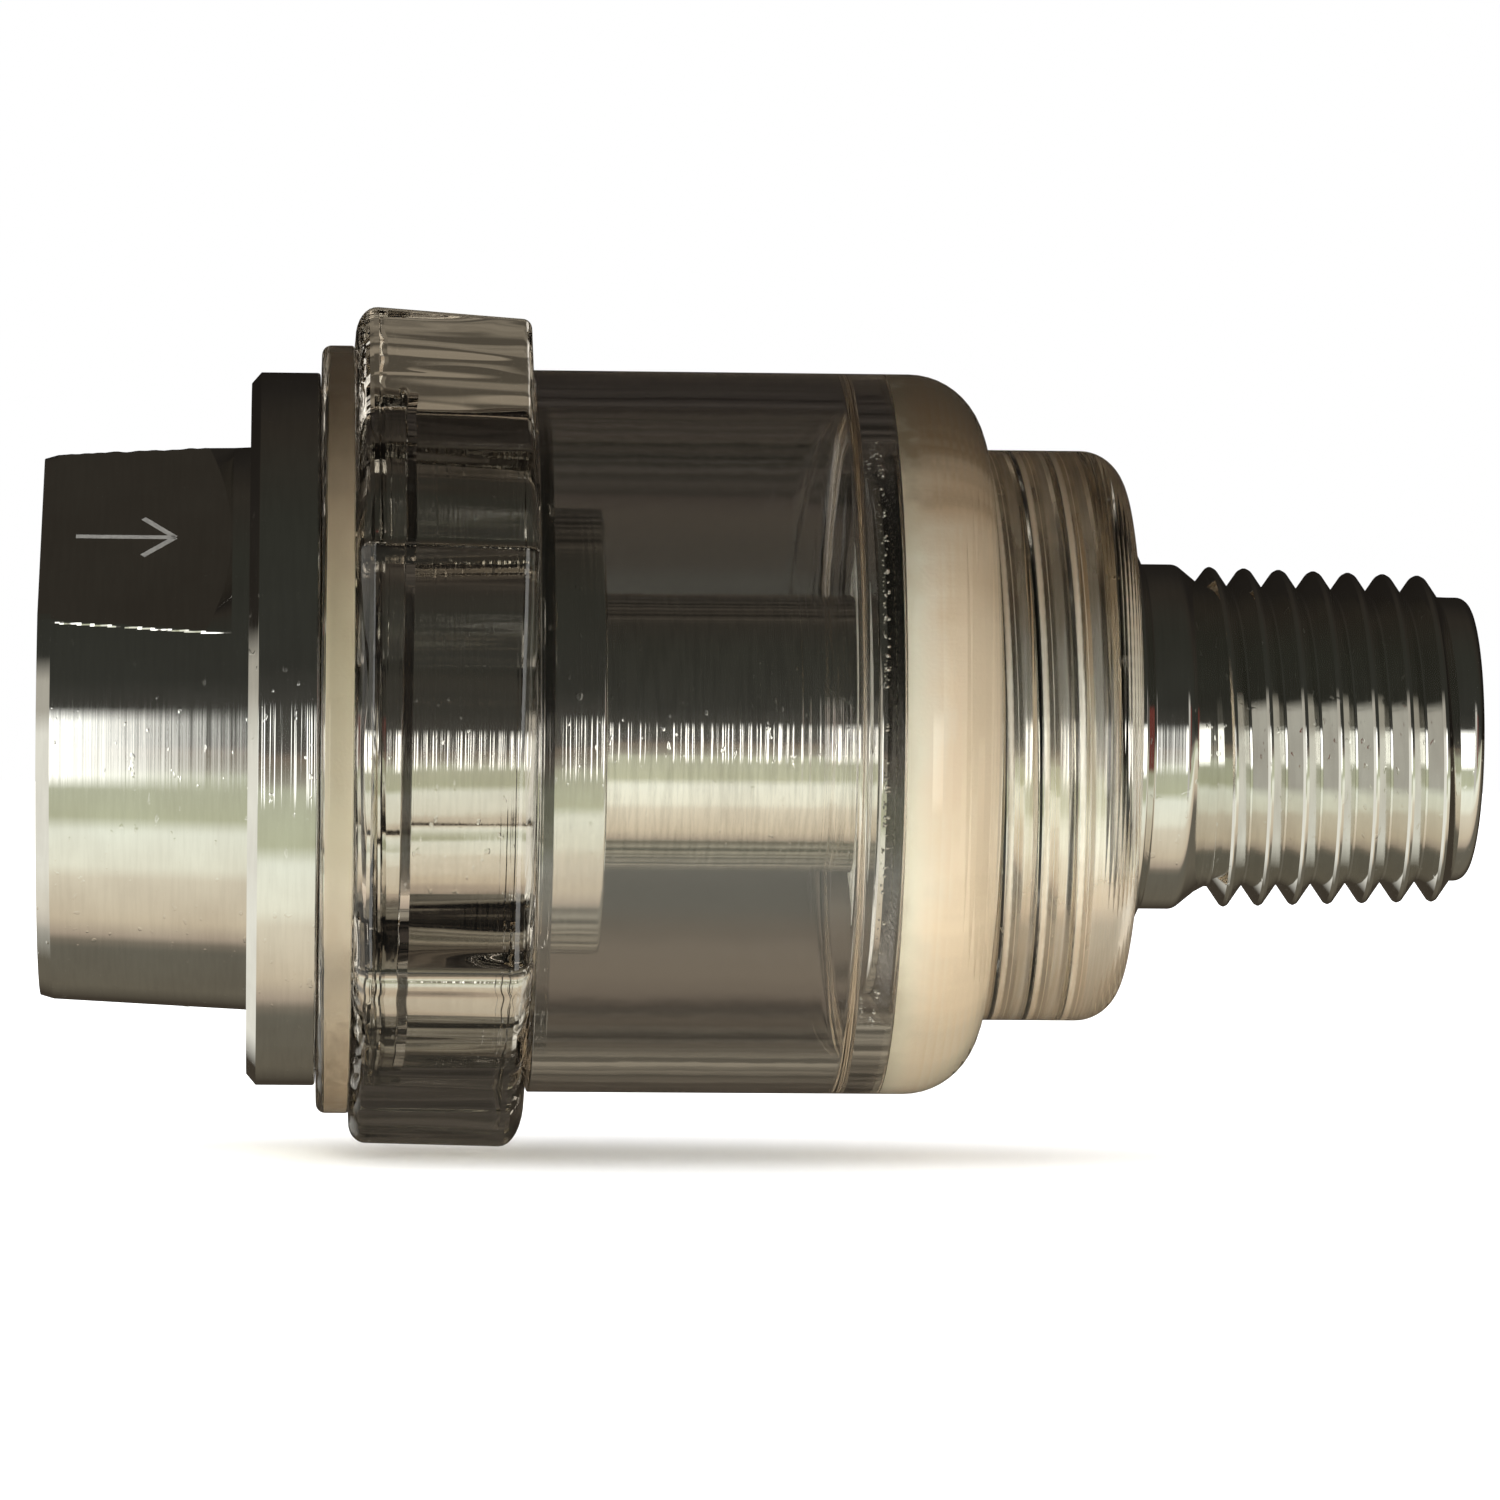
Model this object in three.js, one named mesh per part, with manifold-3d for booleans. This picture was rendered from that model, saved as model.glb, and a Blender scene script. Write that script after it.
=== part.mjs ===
// Magnetic in-line water filter with a clear screw-on bowl, as a three.js scene graph.
//
// Units are millimetres. Water flows along +X, from the centre of the inlet port's face at the
// origin to the male thread at the outlet, and +Z is up. Every turned piece is turned about X.
// Three rigid groups follow one another along the axis: the inlet side, the loose magnetic core
// and the bowl side, which unscrews from the inlet side.

import * as THREE from 'three';
import { mergeVertices } from 'three/addons/utils/BufferGeometryUtils.js';
import Module from 'manifold-3d';

const wasm = await Module();
wasm.setup();

// ---------------------------------------------------------------- driving dimensions

const TURNED_SIDES = 20; // facets round a turned piece, and in one turn of a thread
const WELD = 1e-4; // vertices nearer than this are one vertex
const GAP = 0.05; // clearance between pieces that lie against each other

// Inlet fitting: a round hub with two spanner flats, a flange, a short thread and a spigot.
const HUB_RIM_RADIUS = 10.3; // the hub widens a little from its rim to the flange
const HUB_RADIUS = 10.7;
const HUB_LENGTH = 7.8;
const FLAT_APOTHEM = 8.9; // centre to spanner flat
const FLAT_ANGLE = 53; // degrees from -Y up towards +Z to the first flat's normal
const FLAT_CUTTER_RADIUS = 20;
const FLAT_REACH = 7.1; // how far the flats run along the hub
const FLANGE_RADIUS = 13.55;
const FLANGE_END = 10.4;
const SPIGOT_RADIUS = 8.5;
const SPIGOT_END = 21.1;

// The bowl's screw thread, between the inlet fitting and the clear grip cap.
const BOWL_PITCH = 1.0;
const BOWL_THREAD_START = 11.9;
const BOWL_THREAD_END = 13.7;
const BOWL_THREAD_ROOT = 9.2;
const BOWL_THREAD_CREST = 9.78;
const BOWL_RIDGE_START = 12.05; // centre of the male ridge where it begins
const BOWL_RIDGE_END = 13.35;

// Clear grip cap and bowl.
const CAP_START = 10.45;
const CAP_FLANGE_RADIUS = 14.6;
const HEX_START = 11.7;
const HEX_END = 18.4;
const HEX_APOTHEM = 13.85;
const HEX_CORNER_RADIUS = 16.1;
const HEX_TAPER = 0.024; // radius lost per millimetre along the grip
const HEX_SINK = 0.045; // how far its centre line falls per millimetre
const HEX_ANGLE = 25.5; // degrees from -Y up towards +Z to a corner of the hexagon
const CAP_BORE = 8.8;
const BOWL_RADIUS = 13.75;
const CAVITY_RADIUS = 12.4;
const CAVITY_END = 30.5;
const SHOULDER_START = 32.8;
const NECK_START = 35.6;
const NECK_RADIUS = 10.9;
const NECK_END = 41.0;

// Outlet fitting.
const OUTLET_FLANGE_START = 31.0;
const OUTLET_FLANGE_END = 31.95;
const OUTLET_FLANGE_RADIUS = 9.9;
const OUTLET_BORE = 4.2;
const OUTLET_END = 54.4;
const NECK_THREAD_START = 33.9;
const NECK_THREAD_END = 40.7;

// Pipe threads: G1/4 in the inlet, G3/8 in the neck and R1/4 at the outlet.
const PIPE_PITCH = 1.337;
const PIPE_DEPTH = 0.8;
const INLET_MINOR = 5.72;
const NECK_THREAD_MAJOR = 8.33;
const OUTLET_THREAD_START = 44.3;
const OUTLET_THREAD_END = 53.6;
const OUTLET_THREAD_MAJOR = 6.53;
const PIPE_TAPER = 1 / 32; // radius lost for each millimetre along the taper thread

// Magnetic core.
const SLEEVE_RADIUS = 5.3;
const SLEEVE_BORE = 5.0;
const SLEEVE_START = 13.0;
const SLEEVE_END = 31.3;
const MAGNET_RADIUS = 4.9;
const MAGNET_LENGTH = 2.8;
const POLE_LENGTH = 0.7;
const MAGNET_COUNT = 4;

const PLATED = { color: 0xb9b9b2, metalness: 1.0, roughness: 0.22 };
const CLEAR = { color: 0xc9b8a4, metalness: 0.0, roughness: 0.05, transparent: true, opacity: 0.35 };
const CREAM = { color: 0xe6dcb4, metalness: 0.0, roughness: 0.6 };
const STAINLESS = { color: 0xaaaaa6, metalness: 1.0, roughness: 0.3 };
const MAGNET = { color: 0x6f7276, metalness: 1.0, roughness: 0.35 };
const WHITE_PLASTIC = { color: 0xe9e7df, metalness: 0.0, roughness: 0.5 };

// ---------------------------------------------------------------- geometry helpers

const radians = (degrees) => (degrees * Math.PI) / 180;

/** The geometry with shared vertices joined and empty triangles left out. */
function welded(geometry) {
  geometry.deleteAttribute('normal');
  geometry.deleteAttribute('uv');
  const merged = mergeVertices(geometry, WELD);
  const corners = merged.index.array;
  const kept = [];
  for (let i = 0; i < corners.length; i += 3) {
    const [a, b, c] = corners.slice(i, i + 3);
    if (a !== b && b !== c && c !== a) kept.push(a, b, c);
  }
  merged.setIndex(kept);
  return merged;
}

/** A body turned about the X axis from a closed outline of [x, radius] corners. */
function turned(outline) {
  const points = outline.map(([x, radius]) => new THREE.Vector2(radius, x));
  if (THREE.ShapeUtils.area(points) < 0) points.reverse();
  points.push(points[0].clone());
  const geometry = new THREE.LatheGeometry(points, TURNED_SIDES);
  geometry.rotateZ(-Math.PI / 2);
  return welded(geometry);
}

/** A plain ring along X from 0 to length, with small chamfers outside. */
function ring(length, inner, outer, chamfer = 0.1) {
  return turned([
    [0, inner],
    [0, outer - chamfer],
    [chamfer, outer],
    [length - chamfer, outer],
    [length, outer - chamfer],
    [length, inner],
  ]);
}

/** A plain solid disc along X from 0 to length. */
function disc(length, radius) {
  return turned([[0, 0], [0, radius], [length, radius], [length, 0]]);
}

/** Points of a quarter ellipse from one [x, radius] corner to another; leaving = 'x' or 'radius'. */
function quarter(from, to, leaving, steps = 4) {
  const points = [];
  for (let i = 0; i <= steps; i += 1) {
    const angle = (i / steps) * (Math.PI / 2);
    const early = Math.sin(angle);
    const late = 1 - Math.cos(angle);
    const [alongX, alongR] = leaving === 'x' ? [early, late] : [late, early];
    points.push([from[0] + (to[0] - from[0]) * alongX, from[1] + (to[1] - from[1]) * alongR]);
  }
  return points;
}

function solid(geometry) {
  return new wasm.Manifold(new wasm.Mesh({
    numProp: 3,
    vertProperties: new Float32Array(geometry.attributes.position.array),
    triVerts: new Uint32Array(geometry.index.array),
  }));
}

function geometryOf(body) {
  const mesh = body.getMesh();
  const geometry = new THREE.BufferGeometry();
  geometry.setAttribute('position', new THREE.BufferAttribute(mesh.vertProperties, 3));
  geometry.setIndex(new THREE.BufferAttribute(mesh.triVerts, 1));
  return geometry;
}

/**
 * A right-handed thread ridge about X: a trapezium swept along a helix as a closed body.
 * Its foot is sunk below the surface it stands on, and it fades into that surface at both ends.
 */
function threadRidge({ start, end, pitch, foot, crest, footWidth, crestWidth, taper = 0 }) {
  const fadeSteps = TURNED_SIDES / 4;
  const count = Math.round(((end - start) / pitch) * TURNED_SIDES);
  const positions = [];
  for (let i = 0; i <= count; i += 1) {
    const angle = (i / TURNED_SIDES) * 2 * Math.PI;
    const x = start + (i / TURNED_SIDES) * pitch;
    const lost = taper * (x - start);
    const rise = Math.min(1, i / fadeSteps, (count - i) / fadeSteps);
    const top = foot + (crest - foot) * Math.max(rise, 0.05);
    const section = [
      [-footWidth / 2, foot],
      [-crestWidth / 2, top],
      [crestWidth / 2, top],
      [footWidth / 2, foot],
    ];
    for (const [offset, radius] of section) {
      const reach = radius - lost;
      positions.push(x + offset, reach * Math.cos(angle), reach * Math.sin(angle));
    }
  }
  const faces = [0, 1, 2, 0, 2, 3];
  for (let i = 0; i < count; i += 1) {
    for (let side = 0; side < 4; side += 1) {
      const a = i * 4 + side;
      const b = i * 4 + ((side + 1) % 4);
      faces.push(a, a + 4, b + 4, a, b + 4, b);
    }
  }
  const last = count * 4;
  faces.push(last, last + 2, last + 1, last, last + 3, last + 2);
  const geometry = new THREE.BufferGeometry();
  geometry.setAttribute('position', new THREE.Float32BufferAttribute(positions, 3));
  geometry.setIndex(faces);
  return solid(geometry);
}

function place(group, name, geometry, look, x = 0) {
  const mesh = new THREE.Mesh(geometry, new THREE.MeshStandardMaterial(look));
  mesh.name = name;
  mesh.position.x = x;
  group.add(mesh);
  return mesh;
}

// ---------------------------------------------------------------- inlet side

/** The disc of metal that an end mill takes off the hub to leave one spanner flat. */
function flatCutter(angle) {
  const depth = 4;
  const cutter = new THREE.CylinderGeometry(FLAT_CUTTER_RADIUS, FLAT_CUTTER_RADIUS, depth, 96);
  cutter.translate(FLAT_REACH - FLAT_CUTTER_RADIUS, FLAT_APOTHEM + depth / 2, 0);
  cutter.rotateX(radians(180 - angle));
  return solid(welded(cutter));
}

function inletFitting() {
  const chamfer = 0.45;
  const undercut = 8.85;
  const port = [[0, INLET_MINOR + 0.9], [0.9, INLET_MINOR]];
  const chamber = 6.9;
  const guideSeat = 16.6;
  const guideBore = 7.2;
  const clipGroove = [19.7, 20.4, 7.55];
  const body = turned([
    ...port,
    [9.4, INLET_MINOR],
    [10.6, chamber],
    [guideSeat, chamber],
    [guideSeat, guideBore],
    [clipGroove[0], guideBore],
    [clipGroove[0], clipGroove[2]],
    [clipGroove[1], clipGroove[2]],
    [clipGroove[1], guideBore],
    [SPIGOT_END, guideBore],
    [SPIGOT_END, SPIGOT_RADIUS - 0.15],
    [SPIGOT_END - 0.15, SPIGOT_RADIUS],
    [BOWL_THREAD_END, SPIGOT_RADIUS],
    [BOWL_THREAD_END, BOWL_THREAD_ROOT - 0.3],
    [BOWL_THREAD_END - 0.3, BOWL_THREAD_ROOT],
    [BOWL_THREAD_START - 0.2, BOWL_THREAD_ROOT],
    [BOWL_THREAD_START - 0.2, undercut],
    [FLANGE_END, undercut],
    [FLANGE_END, FLANGE_RADIUS],
    [HUB_LENGTH + chamfer, FLANGE_RADIUS],
    [HUB_LENGTH, FLANGE_RADIUS - chamfer],
    [HUB_LENGTH, HUB_RADIUS],
    [0.5, HUB_RIM_RADIUS],
    [0, HUB_RIM_RADIUS - 0.12],
  ]);
  const bowlThread = threadRidge({
    start: BOWL_RIDGE_START,
    end: BOWL_RIDGE_END,
    pitch: BOWL_PITCH,
    foot: BOWL_THREAD_ROOT - 0.2,
    crest: BOWL_THREAD_CREST,
    footWidth: 0.62,
    crestWidth: 0.2,
  });
  const portThread = threadRidge({
    start: 1.4,
    end: 7.4,
    pitch: PIPE_PITCH,
    foot: INLET_MINOR - 0.25,
    crest: INLET_MINOR + PIPE_DEPTH,
    footWidth: 1.2,
    crestWidth: 0.2,
  });
  const metal = solid(body)
    .subtract(flatCutter(FLAT_ANGLE))
    .subtract(flatCutter(FLAT_ANGLE + 180))
    .subtract(portThread)
    .add(bowlThread);
  return geometryOf(metal);
}

/** The spider that keeps the free end of the core on the axis: a ring with three inward arms. */
function coreGuide(length, outer) {
  const ringWall = 0.75;
  const armWidth = 1.6;
  const armTip = SLEEVE_RADIUS + 0.1;
  const armLength = outer - ringWall / 2 - armTip;
  let guide = solid(ring(length, outer - ringWall, outer));
  for (let arm = 0; arm < 3; arm += 1) {
    const bar = new THREE.BoxGeometry(length, armLength, armWidth);
    bar.translate(length / 2, armTip + armLength / 2, 0);
    bar.rotateX(radians(90 + arm * 120));
    guide = guide.add(solid(welded(bar)));
  }
  return geometryOf(guide);
}

/** An internal retaining ring with its gap at the bottom. */
function retainingRing(length, inner, outer) {
  const gap = new THREE.BoxGeometry(length * 3, outer, 3.4);
  gap.translate(length / 2, outer / 2, 0);
  gap.rotateX(radians(-90));
  return geometryOf(solid(ring(length, inner, outer, 0.05)).subtract(solid(welded(gap))));
}

function inletSide() {
  const group = new THREE.Group();
  const sealLength = BOWL_THREAD_START - 0.25 - FLANGE_END - 2 * GAP;
  place(group, 'inlet_fitting', inletFitting(), PLATED);
  place(group, 'inlet_seal', ring(sealLength, 8.9, 10.0, 0.15), CREAM, FLANGE_END + GAP);
  place(group, 'core_guide', coreGuide(3.0, 7.15), WHITE_PLASTIC, 16.6 + GAP);
  place(group, 'guide_clip', retainingRing(0.6, 6.55, 7.5), STAINLESS, 19.75);
  return group;
}

// ---------------------------------------------------------------- magnetic core

function coreNose() {
  const plug = SLEEVE_BORE - GAP;
  return turned([
    [-2.4, 0],
    ...quarter([-2.4, 0], [0, SLEEVE_RADIUS], 'radius'),
    [0, plug],
    [1.0, plug],
    [1.0, 0],
  ]);
}

/** A flat ring of spring steel with three waves, which presses the stack together. */
function waveSpring(inner, outer) {
  const thickness = 0.25;
  const waveHeight = 0.12;
  const geometry = ring(thickness, inner, outer, 0.02);
  const position = geometry.attributes.position;
  for (let i = 0; i < position.count; i += 1) {
    const angle = Math.atan2(position.getZ(i), position.getY(i));
    position.setX(i, position.getX(i) + waveHeight * Math.cos(3 * angle));
  }
  return geometry;
}

function magneticCore() {
  const group = new THREE.Group();
  const sleeve = ring(SLEEVE_END - SLEEVE_START, SLEEVE_BORE, SLEEVE_RADIUS, 0.08);
  const tailStart = SLEEVE_END - 0.85;
  const stackLength = MAGNET_COUNT * (MAGNET_LENGTH + GAP) + (MAGNET_COUNT + 1) * (POLE_LENGTH + GAP);
  place(group, 'core_sleeve', sleeve, STAINLESS, SLEEVE_START);
  place(group, 'core_nose_cap', coreNose(), STAINLESS, SLEEVE_START - GAP);
  place(group, 'core_tail_plug', disc(0.8, SLEEVE_BORE - GAP), STAINLESS, tailStart);
  let x = tailStart - stackLength;
  place(group, 'stack_spring', waveSpring(2.6, 4.6), STAINLESS, x - 0.5);
  for (let i = 0; i < MAGNET_COUNT; i += 1) {
    place(group, `pole_disc_${i + 1}`, disc(POLE_LENGTH, MAGNET_RADIUS), STAINLESS, x);
    x += POLE_LENGTH + GAP;
    place(group, `magnet_${i + 1}`, disc(MAGNET_LENGTH, MAGNET_RADIUS), MAGNET, x);
    x += MAGNET_LENGTH + GAP;
  }
  place(group, `pole_disc_${MAGNET_COUNT + 1}`, disc(POLE_LENGTH, MAGNET_RADIUS), STAINLESS, x);
  return group;
}

// ---------------------------------------------------------------- bowl side

/** A hexagonal bar about X between two stations, with a corner at the given angle. It narrows
 *  towards +X and its centre line sinks, because the grip is milled slightly out of line. */
function hexagonBar(start, end, apothem, cornerAngle) {
  const corner = apothem / Math.cos(Math.PI / 6);
  const narrowing = (HEX_TAPER * (end - start)) / 2;
  const bar = new THREE.CylinderGeometry(corner - narrowing, corner + narrowing, end - start, 6);
  bar.rotateZ(-Math.PI / 2);
  bar.rotateX(radians(180 - cornerAngle) - firstCornerAngle(bar));
  const position = bar.attributes.position;
  for (let i = 0; i < position.count; i += 1) {
    position.setZ(i, position.getZ(i) - HEX_SINK * position.getX(i));
  }
  bar.translate((start + end) / 2, 0, 0);
  return solid(welded(bar));
}

/** The angle about X, from +Y towards +Z, of a prism's first corner. */
function firstCornerAngle(geometry) {
  const position = geometry.attributes.position;
  return Math.atan2(position.getZ(0), position.getY(0));
}

/** Clear cap: a flange, a hexagonal grip with rounded ends and a spigot into the bowl. */
function gripCap() {
  const sealRecess = 10.15;
  const threadStart = BOWL_THREAD_START - 0.25;
  const threadEnd = BOWL_THREAD_END + 0.1;
  const crestBore = 9.5;
  const bowlSpigot = CAVITY_RADIUS - GAP;
  const core = turned([
    [CAP_START, sealRecess],
    [CAP_START, CAP_FLANGE_RADIUS - 0.35],
    ...quarter([CAP_START, CAP_FLANGE_RADIUS - 0.35], [CAP_START + 0.35, CAP_FLANGE_RADIUS], 'radius', 2),
    [HEX_START, CAP_FLANGE_RADIUS],
    [HEX_START, HEX_APOTHEM - 0.3],
    [HEX_END, HEX_APOTHEM - 0.3],
    [HEX_END, bowlSpigot],
    [HEX_END + 0.6, bowlSpigot],
    [HEX_END + 0.6, CAP_BORE],
    [threadEnd, CAP_BORE],
    [threadEnd, crestBore],
    [threadStart, crestBore],
    [threadStart, sealRecess],
  ]);
  const roundedEnds = turned([
    [HEX_START - 0.1, CAP_BORE + 1.5],
    [HEX_START - 0.1, HEX_CORNER_RADIUS - 1.0],
    ...quarter([HEX_START - 0.1, HEX_CORNER_RADIUS - 1.0], [HEX_START + 0.9, HEX_CORNER_RADIUS], 'radius'),
    ...quarter([HEX_END - 1.0, HEX_CORNER_RADIUS], [HEX_END, HEX_CORNER_RADIUS - 1.2], 'x'),
    [HEX_END, CAP_BORE + 1.5],
  ]);
  const grip = hexagonBar(HEX_START - 1, HEX_END + 1, HEX_APOTHEM, HEX_ANGLE).intersect(solid(roundedEnds));
  const groove = threadRidge({
    start: BOWL_RIDGE_START - 2 * BOWL_PITCH,
    end: BOWL_THREAD_END + BOWL_PITCH,
    pitch: BOWL_PITCH,
    foot: crestBore - 0.25,
    crest: 10.0,
    footWidth: 0.86,
    crestWidth: 0.46,
  });
  const grooveLimits = turned([
    [threadStart - 0.5, 8],
    [threadStart - 0.5, 11],
    [threadEnd, 11],
    [threadEnd, 8],
  ]);
  return geometryOf(solid(core).add(grip).subtract(groove.intersect(solid(grooveLimits))));
}

/** Clear bowl: an open cup with a rounded shoulder and a threaded neck. */
function clearBowl() {
  const recess = 11.2;
  const sealPocket = 10.0;
  const pocketStart = OUTLET_FLANGE_END + GAP;
  const pocketEnd = 33.6;
  const neckBore = 7.6;
  const cornerRound = 1.6;
  const inside = [
    [NECK_END, neckBore],
    [pocketEnd, neckBore],
    [pocketEnd, sealPocket],
    [pocketStart, sealPocket],
    [pocketStart, recess],
    ...quarter([CAVITY_END, recess], [CAVITY_END - 1.4, CAVITY_RADIUS], 'radius'),
    [HEX_END + GAP, CAVITY_RADIUS],
  ];
  const outside = [
    [HEX_END + GAP, BOWL_RADIUS],
    ...quarter([SHOULDER_START, BOWL_RADIUS], [NECK_START, NECK_RADIUS], 'x', 6),
    ...quarter([NECK_END - cornerRound, NECK_RADIUS], [NECK_END, NECK_RADIUS - cornerRound], 'x'),
  ];
  const neckThread = threadRidge({
    start: NECK_THREAD_START - PIPE_PITCH,
    end: NECK_THREAD_END + PIPE_PITCH,
    pitch: PIPE_PITCH,
    foot: neckBore - 0.3,
    crest: NECK_THREAD_MAJOR + 0.12,
    footWidth: 1.3,
    crestWidth: 0.36,
  });
  return geometryOf(solid(turned([...inside, ...outside])).subtract(neckThread));
}

function outletFitting() {
  const carrierSeat = 7.4;
  const plenum = 6.9;
  const sealLand = 8.3;
  const threadRoot = NECK_THREAD_MAJOR - PIPE_DEPTH;
  const bead = 6.6;
  const waist = 5.95;
  const pipeRoot = OUTLET_THREAD_MAJOR - PIPE_DEPTH;
  const pipeRootEnd = pipeRoot - (OUTLET_THREAD_END - OUTLET_THREAD_START) * PIPE_TAPER;
  const nose = 0.5;
  const body = turned([
    [OUTLET_FLANGE_START, carrierSeat],
    [OUTLET_FLANGE_START, OUTLET_FLANGE_RADIUS - 0.2],
    [OUTLET_FLANGE_START + 0.2, OUTLET_FLANGE_RADIUS],
    [OUTLET_FLANGE_END, OUTLET_FLANGE_RADIUS],
    [OUTLET_FLANGE_END, sealLand],
    [NECK_THREAD_START - 0.3, sealLand],
    [NECK_THREAD_START - 0.3, threadRoot],
    [NECK_THREAD_END + 0.3, threadRoot],
    [NECK_END, 7.35],
    [NECK_END + 0.3, 7.35],
    [NECK_END + 0.8, bead],
    ...quarter([43.1, bead], [43.9, waist], 'x'),
    [OUTLET_THREAD_START, pipeRoot],
    [OUTLET_THREAD_END, pipeRootEnd],
    ...quarter([OUTLET_END - nose, pipeRootEnd], [OUTLET_END, pipeRootEnd - nose], 'x', 3),
    [OUTLET_END, OUTLET_BORE + 0.2],
    [OUTLET_END - 0.2, OUTLET_BORE],
    [36.4, OUTLET_BORE],
    [34.6, 6.0],
    [33.4, 6.0],
    [33.4, plenum],
    [OUTLET_FLANGE_START + 1.2, plenum],
    [OUTLET_FLANGE_START + 1.2, carrierSeat],
  ]);
  const neckThread = threadRidge({
    start: NECK_THREAD_START,
    end: NECK_THREAD_END,
    pitch: PIPE_PITCH,
    foot: threadRoot - 0.25,
    crest: NECK_THREAD_MAJOR,
    footWidth: 1.2,
    crestWidth: 0.2,
  });
  const pipeThread = threadRidge({
    start: OUTLET_THREAD_START - 0.2,
    end: OUTLET_THREAD_END,
    pitch: PIPE_PITCH,
    foot: pipeRoot - 0.25,
    crest: OUTLET_THREAD_MAJOR,
    footWidth: 1.28,
    crestWidth: 0.12,
    taper: PIPE_TAPER,
  });
  return geometryOf(solid(body).add(neckThread).add(pipeThread));
}

/** The disc that carries the core's tail in a shallow seat and passes water through six holes. */
function coreCarrier(length, outer) {
  const seatDepth = 0.4;
  const seatRadius = SLEEVE_RADIUS + 0.12;
  const holeRadius = 0.75;
  const holeCircle = 6.35;
  let disc = solid(turned([
    [0, seatRadius],
    [0, outer],
    [length, outer],
    [length, 1.5],
    [seatDepth, 1.5],
    [seatDepth, seatRadius],
  ]));
  for (let i = 0; i < 6; i += 1) {
    const drill = new THREE.CylinderGeometry(holeRadius, holeRadius, length * 3, 12);
    drill.rotateZ(-Math.PI / 2);
    drill.translate(length / 2, holeCircle, 0);
    drill.rotateX(radians(i * 60));
    disc = disc.subtract(solid(welded(drill)));
  }
  return geometryOf(disc);
}

/** The fillet of sealant round the rim of the outlet fitting's flange. */
function sealantBead() {
  const inner = OUTLET_FLANGE_RADIUS + GAP;
  return turned([[0, inner], [0.55, inner + 0.75], [0.55, inner]]);
}

function bowlSide() {
  const group = new THREE.Group();
  const sealStart = OUTLET_FLANGE_END + 2 * GAP;
  place(group, 'grip_cap', gripCap(), CLEAR);
  place(group, 'clear_bowl', clearBowl(), CLEAR);
  place(group, 'outlet_fitting', outletFitting(), PLATED);
  place(group, 'outlet_seal', ring(33.55 - sealStart, 8.38, 9.95, 0.1), CREAM, sealStart);
  place(group, 'sealant_bead', sealantBead(), CREAM, OUTLET_FLANGE_END - 0.6);
  place(group, 'core_carrier', coreCarrier(1.1, 7.34), WHITE_PLASTIC, OUTLET_FLANGE_START + GAP);
  return group;
}

// ---------------------------------------------------------------- assembly

const filter = new THREE.Group();
filter.add(inletSide());
filter.add(magneticCore());
filter.add(bowlSide());

export default filter;
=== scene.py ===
"""Looks of the in-line magnetic water filter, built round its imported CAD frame.

Sizes are in millimetres and turned into metres when a mesh is made. The flow axis is X and up is
Z. An angle is measured about X from -Y, the side that faces the camera, up towards +Z.
"""

import math
import random

import bmesh
import bpy
from mathutils import Matrix, Vector, noise


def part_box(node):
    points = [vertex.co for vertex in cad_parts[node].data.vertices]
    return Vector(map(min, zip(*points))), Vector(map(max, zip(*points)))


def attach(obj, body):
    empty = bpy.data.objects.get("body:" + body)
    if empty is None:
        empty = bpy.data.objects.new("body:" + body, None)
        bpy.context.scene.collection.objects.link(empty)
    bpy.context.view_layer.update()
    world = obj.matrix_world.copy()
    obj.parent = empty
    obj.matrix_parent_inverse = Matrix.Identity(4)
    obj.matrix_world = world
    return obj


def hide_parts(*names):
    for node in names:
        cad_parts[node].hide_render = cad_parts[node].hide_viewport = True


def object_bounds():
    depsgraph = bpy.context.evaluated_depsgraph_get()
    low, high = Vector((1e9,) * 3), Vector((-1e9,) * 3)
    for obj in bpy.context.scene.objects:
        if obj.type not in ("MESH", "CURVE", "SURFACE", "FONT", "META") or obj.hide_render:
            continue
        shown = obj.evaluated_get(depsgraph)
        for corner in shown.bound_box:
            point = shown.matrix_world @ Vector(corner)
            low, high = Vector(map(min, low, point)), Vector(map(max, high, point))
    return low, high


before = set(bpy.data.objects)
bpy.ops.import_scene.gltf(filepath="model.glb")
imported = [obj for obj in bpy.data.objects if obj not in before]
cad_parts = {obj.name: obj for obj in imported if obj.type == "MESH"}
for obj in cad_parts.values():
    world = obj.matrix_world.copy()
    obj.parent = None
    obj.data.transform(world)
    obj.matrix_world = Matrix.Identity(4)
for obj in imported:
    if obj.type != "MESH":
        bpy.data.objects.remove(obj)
cad_low, cad_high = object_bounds()

MM = 0.001
SIDES = 240  # facets round a turned piece
SHARP = math.radians(12.5)  # edges turning by more than this stay crisp


def span(node):
    """The box of a CAD node in millimetres, as (lowest corner, highest corner)."""
    low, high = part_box(node)
    return low / MM, high / MM


# ---------------------------------------------------------------- stations from the frame

INLET_HIGH = span("inlet_fitting")[1]
CAP_LOW, CAP_HIGH = span("grip_cap")
BOWL_LOW, BOWL_HIGH = span("clear_bowl")
OUTLET_LOW, OUTLET_HIGH = span("outlet_fitting")

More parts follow.
